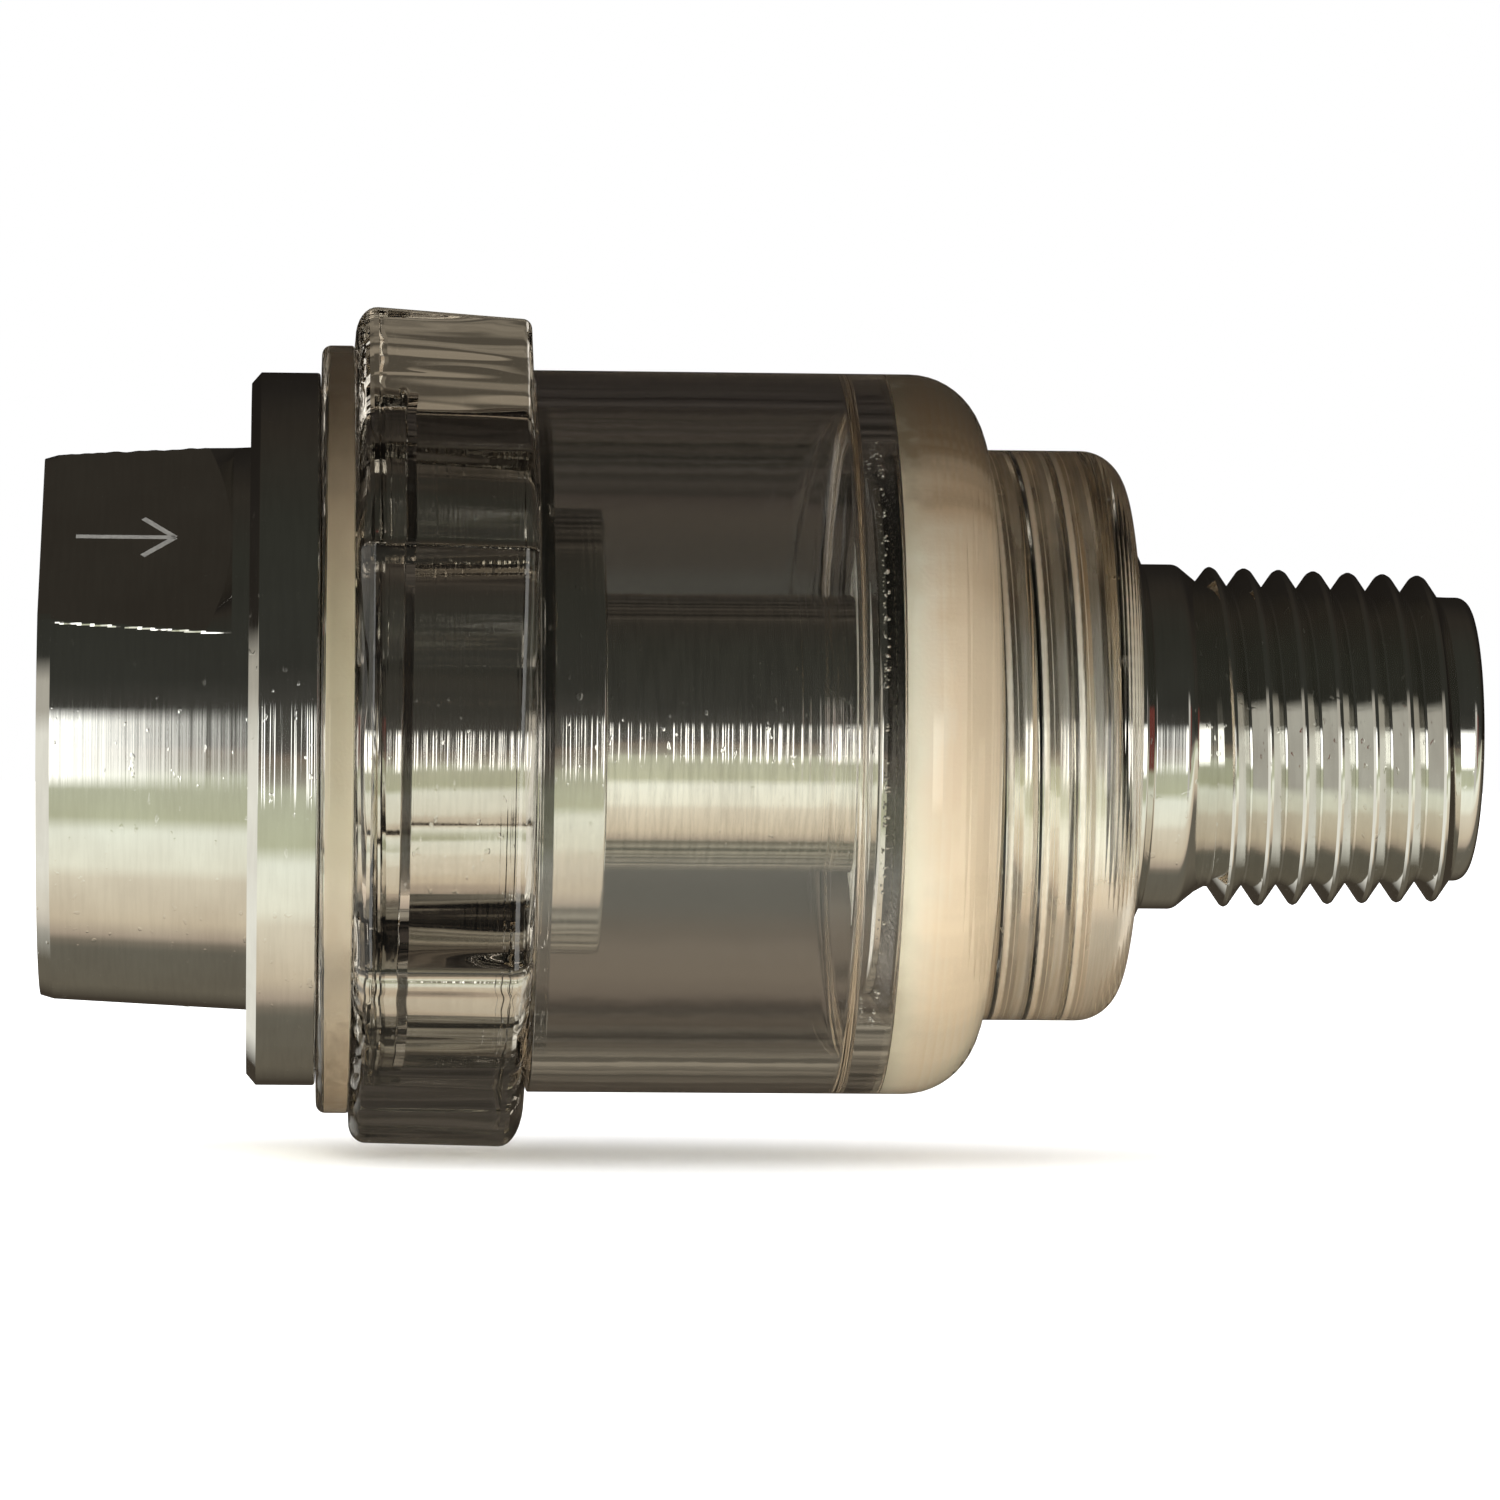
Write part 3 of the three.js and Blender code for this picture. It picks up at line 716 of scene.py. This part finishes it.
def flow_arrow():
    """A generic flow arrow etched on the first spanner flat: a shaft and two barbs of thin line."""
    angle = math.radians(FLAT_ANGLE)
    outward = Vector((0, -math.cos(angle), math.sin(angle)))
    sideways = Vector((0, math.sin(angle), math.cos(angle)))
    start = Vector((1.3, 0, 0)) + outward * (FLAT_APOTHEM + 0.004)
    length = 3.7
    barb = 1.2
    half = 0.11
    sunk = 0.02
    tip = (length, 0)
    strokes = [((0, 0), tip), (tip, (length - barb, barb)), (tip, (length - barb, -barb))]
    graph = bmesh.new()
    for (x0, s0), (x1, s1) in strokes:
        run = Vector((x1 - x0, s1 - s0)).normalized()
        corners = []
        for x, s, sign in ((x0, s0, 1), (x0, s0, -1), (x1, s1, -1), (x1, s1, 1)):
            beside = s + sign * half * run.x
            corners.append(start + Vector((x - sign * half * run.y, 0, 0)) + sideways * beside)
        low = [graph.verts.new((corner - outward * sunk) * MM) for corner in corners]
        high = [graph.verts.new(corner * MM) for corner in corners]
        graph.faces.new(low)
        graph.faces.new(high)
        for j in range(4):
            k = (j + 1) % 4
            graph.faces.new((low[j], low[k], high[k], high[j]))
    return finished("flow_arrow_etching", graph)


def inlet_seal():
    """The cream ring, pressed into the clear cap so that it wets the recess all round."""
    start = span("inlet_seal")[0].x
    proud = 0.03
    return turned("inlet_seal_fine", filleted([
        (start, SEAL_BORE, 0.1),
        (start, SEAL_RADIUS + proud, 0.02),
        (SEAL_END + proud, SEAL_RADIUS + proud, 0.02),
        (SEAL_END + proud, SEAL_BORE, 0.1),
    ]))


def core_guide():
    low, high = span("core_guide")
    outer = SPIGOT_BORE - 0.05
    inner = outer - 0.75
    arm_width = 1.6
    arm_reach = 5.4
    piece = turned("core_guide_fine", filleted([
        (low.x, inner, 0.15),
        (low.x, outer, 0.15),
        (high.x, outer, 0.15),
        (high.x, inner, 0.15),
    ]), 120)
    for arm in range(3):
        near = (low.x + 0.05, arm_reach, -arm_width / 2)
        far = (high.x - 0.05, outer - 0.4, arm_width / 2)
        combine(piece, box_bar("arm", near, far, math.radians(90 + 120 * arm)), "UNION")
    return piece


def guide_clip():
    low, high = span("guide_clip")
    outer = CLIP_GROOVE_RADIUS - 0.05
    inner = outer - 0.95
    half_gap = 1.7
    piece = turned("guide_clip_fine", filleted([
        (low.x, inner, 0.08),
        (low.x, outer, 0.08),
        (high.x, outer, 0.08),
        (high.x, inner, 0.08),
    ]), 120)
    gap = box_bar("gap", (low.x - 1, -half_gap, -outer - 1), (high.x + 1, half_gap, 0))
    combine(piece, gap, "DIFFERENCE")
    return piece


# ---------------------------------------------------------------- magnetic core

def disc(node, round_edge=0.12):
    """A fine disc that stands for a plain CAD disc."""
    low, high = span(node)
    return turned(node + "_fine", filleted([
        (low.x, 0, 0),
        (low.x, high.y, round_edge),
        (high.x, high.y, round_edge),
        (high.x, 0, 0),
    ]), 96)


def core_sleeve():
    low, high = span("core_sleeve")
    bore = SLEEVE_RADIUS - 0.3
    return turned("core_sleeve_fine", filleted([
        (low.x, bore, 0),
        (low.x, SLEEVE_RADIUS, 0.08),
        (high.x, SLEEVE_RADIUS, 0.08),
        (high.x, bore, 0),
    ]))


def core_nose():
    """The plug at the upstream end: a dome, and a shank that fits the sleeve."""
    low, high = span("core_nose_cap")
    rim = high.x - 1.0
    shank = 4.95
    outline = []
    steps = 16
    for i in range(steps + 1):
        angle = i / steps * math.pi / 2
        outline.append((rim - (rim - low.x) * math.cos(angle), SLEEVE_RADIUS * math.sin(angle)))
    outline += [(rim, shank), (high.x, shank), (high.x, 0)]
    return turned("core_nose_cap_fine", outline, 120)


def stack_spring():
    """A wave spring with three waves."""
    low, high = span("stack_spring")
    middle = (low.x + high.x) / 2
    thickness = 0.25
    height = 0.12
    inner = 2.6
    outer = 4.6

    def outline(angle):
        near = middle - thickness / 2 + height * math.sin(3 * (angle - math.pi / 2))
        far = near + thickness
        return [(near, inner), (near, outer), (far, outer), (far, inner)]

    return finished("stack_spring_fine", spun(outline, even_angles(120)))


# ---------------------------------------------------------------- bowl side

def hexagon_radius(angle):
    """The radius of the rounded hexagon of the grip at this angle."""
    sixth = math.radians(60)
    offset = abs((angle - math.radians(HEX_ANGLE) + sixth / 2) % sixth - sixth / 2)
    middle = (HEX_APOTHEM - HEX_ROUND) / math.cos(sixth / 2)
    tangent = math.atan2(HEX_ROUND * 0.5, middle + HEX_ROUND * math.cos(sixth / 2))
    if offset < tangent:
        bulge = math.sqrt(HEX_ROUND ** 2 - (middle * math.sin(offset)) ** 2)
        return middle * math.cos(offset) + bulge
    return HEX_APOTHEM / math.cos(sixth / 2 - offset)


def grip_angles():
    """Even angles, with close ones round the hexagon's corners."""
    angles = even_angles(360)
    for corner in range(6):
        middle = math.radians(HEX_ANGLE + 60 * corner)
        angles += [(middle + math.radians(i * 0.3)) % math.tau for i in range(-8, 9)]
    return sorted(set(round(a, 7) for a in angles))


def grip_outline(angle):
    """The grip's outline at this angle. Its ends are polished round, more on opposite corners.
    Water and grease fill its bore and its thread, so there the plastic meets the metal all over.
    """
    start = CAP_LOW.x
    middle = (HEX_START + HEX_END) / 2
    upward = math.sin(angle)

    def reach(x):
        return hexagon_radius(angle) - (HEX_TAPER + HEX_SINK * upward) * (x - middle)

    outline = filleted([
        (start, SEAL_RADIUS, 0),
        (start, CAP_FLANGE_RADIUS - 0.4, 0),
        (start, CAP_FLANGE_RADIUS, 0.35),
        (start + 0.4, CAP_FLANGE_RADIUS, 0),
        (HEX_START - 0.13, CAP_FLANGE_RADIUS, 0),
        (HEX_START, CAP_FLANGE_RADIUS, 0.1),
    ])
    left_width, left_drop = 0.75 + 0.1 * upward, 1.0 + 0.25 * upward
    right_width, right_drop = 0.65 - 0.3 * upward, 1.1 - 0.75 * upward
    quarter = [i / 8 * math.pi / 2 for i in range(9)]
    for turn in quarter:
        x = HEX_START + left_width * (1 - math.cos(turn))
        outline.append((x, reach(x) - left_drop * (1 - math.sin(turn))))
    for x in (HEX_START + left_width + 0.03, HEX_END - right_width - 0.03):
        outline.append((x, reach(x)))
    for turn in quarter:
        x = HEX_END - right_width * (1 - math.sin(turn))
        outline.append((x, reach(x) - right_drop * (1 - math.cos(turn))))
    thread_end = SPIGOT_START + 0.1
    outline += [
        (HEX_END, CAVITY_RADIUS - 0.05),
        (CAP_HIGH.x, CAVITY_RADIUS - 0.05),
        (CAP_HIGH.x, SPIGOT_RADIUS - WET),
        (thread_end, SPIGOT_RADIUS - WET),
        (thread_end, BOWL_THREAD_ROOT - WET),
        (SEAL_END, BOWL_THREAD_ROOT - WET),
        (SEAL_END, SEAL_RADIUS),
    ]
    return outline


def grip_cap():
    return finished("grip_cap_fine", spun(grip_outline, grip_angles()))


def clear_bowl():
    start = BOWL_LOW.x
    end = BOWL_HIGH.x
    return turned("clear_bowl_fine", filleted([
        (start, CAVITY_RADIUS, 0.05),
        (start, BOWL_RADIUS, 0.05),
        (NECK_START, BOWL_RADIUS, 2.8),
        (NECK_START, NECK_RADIUS, 0.03),
        (end, NECK_RADIUS, 1.6),
        (end, NECK_BORE, 0.05),
        (SEAL_POCKET[1], NECK_BORE, 0.05),
        (SEAL_POCKET[1], SEAL_POCKET_RADIUS, 0.05),
        (SEAL_POCKET[0], SEAL_POCKET_RADIUS, 0.05),
        (SEAL_POCKET[0], RECESS_RADIUS, 0.1),
        (CAVITY_END, RECESS_RADIUS, 0.1),
        (CAVITY_END, CAVITY_RADIUS, 0.45),
    ], steps=12))


def outlet_fitting():
    root = OUTLET_THREAD_MAJOR - PIPE_DEPTH
    root_end = root - (OUTLET_THREAD[1] - OUTLET_THREAD[0]) * PIPE_TAPER
    thread_root = NECK_THREAD_MAJOR - PIPE_DEPTH
    end = OUTLET_HIGH.x
    socket = 7.4
    wide_bore = socket - 0.5
    narrow_bore = 6.0
    socket_end = OUTLET_FLANGE + 1.2
    collar = 8.3
    collar_end = NECK_THREAD[0] - 0.3
    bead = 7.35
    shank = 6.6
    piece = turned("outlet_fitting_fine", filleted([
        (OUTLET_FLANGE, socket, 0),
        (OUTLET_FLANGE, OUTLET_FLANGE_RADIUS, 0.2),
        (OUTLET_FLANGE_END, OUTLET_FLANGE_RADIUS, 0.05),
        (OUTLET_FLANGE_END, collar, 0),
        (collar_end, collar, 0.05),
        (collar_end, thread_root, 0),
        (BEAD_START - 0.25, thread_root, 0.1),
        (BEAD_START, bead, 0.1),
        (BEAD_START + 0.2, bead, 0.1),
        (SHANK[0], shank, 0.1),
        (SHANK[1], shank, 0.5),
        (OUTLET_THREAD[0] - 0.4, root + 0.22, 0.2),
        (OUTLET_THREAD[0], root, 0.1),
        (OUTLET_THREAD[1], root_end, 0),
        (end, root_end, 0.45),
        (end, OUTLET_BORE, 0.15),
        (OUTLET_BORE_START, OUTLET_BORE, 0.2),
        (OUTLET_SOCKET[1], narrow_bore, 0),
        (OUTLET_SOCKET[0], narrow_bore, 0),
        (OUTLET_SOCKET[0], wide_bore, 0),
        (socket_end, wide_bore, 0),
        (socket_end, socket, 0),
    ]))
    combine(piece, bar_ridge(
        "neck_thread", *NECK_THREAD, PIPE_PITCH, thread_root - 0.04, NECK_THREAD_MAJOR, 1.33, 0.1,
    ), "UNION")
    combine(piece, bar_ridge(
        "pipe_thread", OUTLET_THREAD[0] - 0.2, OUTLET_THREAD[1], PIPE_PITCH, root - 0.04,
        OUTLET_THREAD_MAJOR, 1.33, 0.08, taper=PIPE_TAPER, steps=144,
    ), "UNION")
    return piece


def neck_film():
    """The sealant that fills the neck thread, almost level with the metal ridges. It flares out
    at the mouth of the neck.
    """
    proud = 0.015
    root = NECK_THREAD_MAJOR - 0.28
    start = SEAL_POCKET[1] + 0.3
    end = BOWL_HIGH.x - 0.2
    piece = turned("neck_sealant_film", [
        (start, root + proud),
        (end - 0.7, root + proud),
        (end, NECK_RADIUS - 1.9),
        (end, root - 0.6),
        (start, root - 0.6),
    ])
    combine(piece, bar_ridge(
        "film_thread", NECK_THREAD[0] + 0.15, NECK_THREAD[1] - 0.15, PIPE_PITCH, root - 0.04,
        NECK_THREAD_MAJOR + proud, 1.2, 0.1,
    ), "UNION")
    return piece


def outlet_seal():
    """The cream washer, with the cream sealant behind it that fills the root of the shoulder."""
    start = span("outlet_seal")[0].x
    end = NECK_START - 0.2
    bore = NECK_THREAD_MAJOR + 0.05
    proud = 0.02
    return turned("outlet_seal_fine", filleted([
        (start, bore, 0.05),
        (start, SEAL_POCKET_RADIUS + proud, 0.03),
        (SEAL_POCKET[1] + proud, SEAL_POCKET_RADIUS + proud, 0.03),
        (end, 8.7, 0.2),
        (end, bore, 0.05),
    ]))


def sealant_bead():
    """A bead of clear sealant round the flange's rim, a little uneven round the rim."""
    low, high = span("sealant_bead")
    inner = OUTLET_FLANGE_RADIUS + 0.05

    def outline(angle):
        wander = 0.12 * noise.noise(Vector((math.cos(angle) * 3, math.sin(angle) * 3, 4)))
        top = high.y + wander
        return [
            (low.x, inner), (low.x + 0.15, inner + 0.15 + wander), (high.x - 0.1, top), (high.x, top),
            (high.x, inner),
        ]

    return finished("sealant_bead_fine", spun(outline, even_angles()))


def trapped_bubbles():
    """Small bubbles in a ring at the foot of the sealant bead. A bubble mirrors like bright metal."""
    foot = span("sealant_bead")[0].x
    chance = random.Random(7)
    graph = bmesh.new()
    for _ in range(220):
        angle = chance.uniform(0, math.tau)
        radius = chance.uniform(10.4, 11.15)
        size = chance.uniform(0.03, 0.08)
        x = chance.uniform(foot - 0.12, foot + 0.02)
        spot = Vector((x, -radius * math.cos(angle), radius * math.sin(angle)))
        place = Matrix.Translation(spot * MM)
        bmesh.ops.create_icosphere(graph, subdivisions=2, radius=size * MM, matrix=place)
    return finished("trapped_bubbles", graph)


def rod(name, x, out, angle, radius, length):
    """A rod along X, centred at x and at this distance and angle from the axis."""
    graph = bmesh.new()
    bmesh.ops.create_cone(
        graph, segments=32, radius1=radius * MM, radius2=radius * MM, depth=length * MM, cap_ends=True,
    )
    for vert in graph.verts:
        across = vert.co.x + out * MM
        side = vert.co.y
        vert.co = Vector((
            vert.co.z + x * MM,
            across * math.cos(angle) - side * math.sin(angle),
            across * math.sin(angle) + side * math.cos(angle),
        ))
    return finished(name, graph)


def core_carrier():
    """The disc behind the core: a shallow seat for its tail, a centre hole and six water holes."""
    low, high = span("core_carrier")
    seat = SLEEVE_RADIUS + 0.12
    seat_end = low.x + 0.4
    centre_hole = 1.5
    piece = turned("core_carrier_fine", filleted([
        (low.x, seat, 0.05),
        (low.x, high.y, 0.1),
        (high.x, high.y, 0.1),
        (high.x, centre_hole, 0.1),
        (seat_end, centre_hole, 0.1),
        (seat_end, seat, 0),
    ]), 144)
    middle = (low.x + high.x) / 2
    for i in range(6):
        combine(piece, rod("hole", middle, 6.35, math.radians(60 * i), 0.75, 4), "DIFFERENCE")
    return piece


# ---------------------------------------------------------------- assembly

stand_in(inlet_fitting(), SPIGOT, "inlet_side", "plated_metal", "inlet_fitting")
stand_in(inlet_seal(), CREAM, "inlet_side", "cream_seal", "inlet_seal")
stand_in(core_guide(), PLASTIC, "inlet_side", "white_plastic", "core_guide")
stand_in(guide_clip(), STEEL, "inlet_side", "stainless", "guide_clip")
stand_in(flow_arrow(), ETCHED, "inlet_side", "plated_metal")

stand_in(core_sleeve(), TURNED, "core", "stainless", "core_sleeve")
stand_in(core_nose(), STEEL, "core", "stainless", "core_nose_cap")
stand_in(disc("core_tail_plug"), STEEL, "core", "stainless", "core_tail_plug")
stand_in(stack_spring(), STEEL, "core", "stainless", "stack_spring")
for number in range(1, 5):
    magnet = f"magnet_{number}"
    stand_in(disc(magnet, 0.2), NICKEL, "core", "magnet", magnet)
for number in range(1, 6):
    pole = f"pole_disc_{number}"
    stand_in(disc(pole, 0.08), STEEL, "core", "stainless", pole)

stand_in(grip_cap(), CLEAR_GRIP, "bowl_side", "clear_plastic", "grip_cap")
stand_in(clear_bowl(), CLEAR, "bowl_side", "clear_plastic", "clear_bowl")
stand_in(outlet_fitting(), PLATED, "bowl_side", "plated_metal", "outlet_fitting")
stand_in(outlet_seal(), WASHER, "bowl_side", "cream_seal", "outlet_seal")
stand_in(neck_film(), FILM, "bowl_side", "sealant")
stand_in(sealant_bead(), SEALANT, "bowl_side", "sealant", "sealant_bead")
stand_in(trapped_bubbles(), PLATED, "bowl_side", "sealant")
stand_in(core_carrier(), PLASTIC, "bowl_side", "white_plastic", "core_carrier")


# ---------------------------------------------------------------- studio

def floor():
    """A wide pale floor just under the part. Mirrors and clear parts show the studio instead."""
    size = 3.0  # metres from the middle to each edge
    gap = 0.2
    graph = bmesh.new()
    spots = [(-size, -size), (size, -size), (size, size), (-size, size)]
    graph.faces.new([graph.verts.new((x, y, 0)) for x, y in spots])
    piece = finished("studio_floor", graph)
    piece.location = (0, 0, cad_low.z - gap * MM)
    recipe = Recipe("pale_floor")
    tint = recipe.noise(0.01, 0.01, detail=2)
    recipe.drive("Base Color", recipe.ramp(tint, [(0.3, grey(0.92)), (0.7, grey(0.94))]))
    recipe.set(Roughness=0.9, Specular_IOR_Level=0.0)
    piece.data.materials.append(recipe.material)
    piece.visible_glossy = False
    piece.visible_transmission = False


# The surround as bright metal shows it: (angle, screen colour) stops. The angle is about X from the
# camera's side, and up is positive.
STUDIO_BANDS = [
    (-180, (60, 54, 46)),
    (-162, (58, 52, 44)),
    (-140, (98, 92, 80)),
    (-106, (100, 96, 86)),
    (-101, (120, 112, 100)),
    (-97, (168, 154, 138)),
    (-88, (198, 184, 162)),
    (-66, (212, 203, 184)),
    (-60, (229, 227, 210)),
    (-44, (232, 234, 220)),
    (-38, (182, 184, 158)),
    (-20, (178, 180, 160)),
    (-17, (146, 142, 130)),
    (-13, (124, 118, 106)),
    (-9.5, (120, 109, 98)),
    (-7.5, (86, 82, 78)),
    (-2, (77, 76, 71)),
    (8, (62, 61, 57)),
    (20, (50, 50, 46)),
    (70, (46, 46, 41)),
    (110, (46, 42, 37)),
    (140, (34, 31, 28)),
    (180, (24, 21, 18)),
]
METAL_BRIGHTNESS = 0.8  # the share of the light that the plating gives back


def band_colours(nodes, angle):
    """The bands of the surround round the part's axis."""
    stops = []
    for at, screen in STUDIO_BANDS:
        light = [channel / METAL_BRIGHTNESS for channel in linear(*screen)[:3]]
        stops.append(((at + 180) / 360, light + [1.0]))
    return nodes.ramp(nodes.maths("DIVIDE", nodes.maths("ADD", angle, 180.0), 360.0), stops)


def with_lights(nodes, bands, angle, along, behind, up):
    """The bands with a lamp on both sides, a red curtain and a grey strip on the right, and a
    window low on the left.
    """
    def patch(first, second):
        return nodes.maths("MULTIPLY", first, second)

    side = nodes.maths("ABSOLUTE", along)
    lamp = patch(nodes.between(angle, -20.0, 2.0, 6.0), nodes.between(side, 0.14, 0.36, 0.03))
    glow = nodes.mixed(lamp, bands, (2.6, 2.6, 2.5, 1))
    curtain = patch(nodes.between(angle, -25.0, 20.0, 5.0), nodes.between(along, 0.63, 0.70, 0.03))
    glow = nodes.mixed(curtain, glow, (0.22, 0.06, 0.05, 1))
    strip = patch(nodes.between(angle, -40.0, 22.0, 10.0), nodes.between(along, 0.38, 0.56, 0.05))
    glow = nodes.mixed(strip, glow, (0.62, 0.60, 0.55, 1))

    height = nodes.between(up, -1.1, -0.05, 0.15)
    window = nodes.mixed(height, (0.5, 0.47, 0.41, 1), (0.95, 0.93, 0.85, 1))
    lower = nodes.maths("ADD", behind, nodes.maths("MULTIPLY", up, 2.0))
    left = patch(nodes.between(along, -1.1, -0.5, 0.2), nodes.between(lower, -4.0, 0.5, 0.2))
    return nodes.mixed(patch(left, nodes.between(up, -1.1, 0.3, 0.15)), glow, window)


def striping(nodes, angle, path):
    """Soft light and dark stripes in the far side, as clear parts show it."""
    stripes = nodes.add("ShaderNodeTexNoise", noise_dimensions="1D")
    stripes.inputs["Scale"].default_value = 1.0
    stripes.inputs["Detail"].default_value = 1.0
    nodes.join(nodes.maths("DIVIDE", angle, 5.0), stripes.inputs["W"])
    depth = nodes.range(stripes.outputs["Fac"], 0.35, 0.65, -0.45, 0.9)
    back = nodes.between(nodes.maths("ABSOLUTE", angle), 105.0, 181.0, 8.0)
    back = nodes.maths("MULTIPLY", back, path["Is Transmission Ray"])
    return nodes.maths("ADD", 1.0, nodes.maths("MULTIPLY", back, depth))


def ghost_dimming(nodes, path):
    """Less light for the faint mirror images deep inside the clear parts."""
    deep = nodes.maths("GREATER_THAN", path["Transmission Depth"], 5.0)
    ghost = nodes.maths("MULTIPLY", deep, nodes.maths("MINIMUM", path["Glossy Depth"], 1.0))
    return nodes.maths("SUBTRACT", 1.0, nodes.maths("MULTIPLY", ghost, 0.9))


def soft_fill(nodes, path):
    """More light for matt surfaces: some in the open, and most behind the clear parts."""
    lit = nodes.maths("MINIMUM", path["Diffuse Depth"], 1.0)
    covered = nodes.maths("SUBTRACT", 1.0, path["Is Diffuse Ray"])
    behind_glass = nodes.maths("MULTIPLY", nodes.maths("MULTIPLY", lit, covered), 2.2)
    in_the_open = nodes.maths("MULTIPLY", path["Is Diffuse Ray"], 0.8)
    return nodes.maths("ADD", 1.0, nodes.maths("ADD", in_the_open, behind_glass))


def studio():
    """A white surround for the camera and the floor, and soft strip lights for what is bright."""
    world = bpy.data.worlds.new("studio")
    world.use_nodes = True
    world.cycles.sampling_method = "NONE"
    bpy.context.scene.world = world
    nodes = Nodes(world.node_tree)
    background = nodes.tree.nodes["Background"]
    path = nodes.add("ShaderNodeLightPath").outputs

    split = nodes.add("ShaderNodeSeparateXYZ")
    nodes.join(nodes.add("ShaderNodeTexCoord").outputs["Generated"], split.inputs[0])
    along, behind, up = split.outputs[0], split.outputs[1], split.outputs[2]
    turn = nodes.maths("ARCTAN2", up, nodes.maths("MULTIPLY", behind, -1.0))
    angle = nodes.maths("DEGREES", turn)

    glow = with_lights(nodes, band_colours(nodes, angle), angle, along, behind, up)
    plain = nodes.maths("MAXIMUM", path["Is Camera Ray"], path["Is Diffuse Ray"])
    nodes.join(nodes.mixed(plain, glow, grey(1)), background.inputs["Color"])
    strength = nodes.maths("MULTIPLY", striping(nodes, angle, path), ghost_dimming(nodes, path))
    strength = nodes.maths("MULTIPLY", strength, soft_fill(nodes, path))
    nodes.join(strength, background.inputs["Strength"])


def camera():
    """A long lens a little to the left of the part, level with it."""
    distance = 305.5
    width_in_view = 57.3
    azimuth = math.radians(-3.4)
    roll = math.radians(0.5)
    aim = Vector((26.9, 0, -0.65))
    data = bpy.data.cameras.new("camera")
    data.sensor_width = 36
    data.lens = data.sensor_width * distance / width_in_view
    data.clip_start = 0.01
    data.clip_end = 20
    holder = bpy.data.objects.new("camera", data)
    spot = aim + Vector((math.sin(azimuth), -math.cos(azimuth), 0)) * distance
    holder.location = spot * MM
    holder.rotation_euler = (aim - spot).to_track_quat("-Z", "Y").to_euler()
    holder.rotation_euler.rotate_axis("Z", roll)
    bpy.context.scene.collection.objects.link(holder)
    bpy.context.scene.camera = holder


floor()
studio()
camera()
bpy.context.scene.view_settings.view_transform = "Standard"
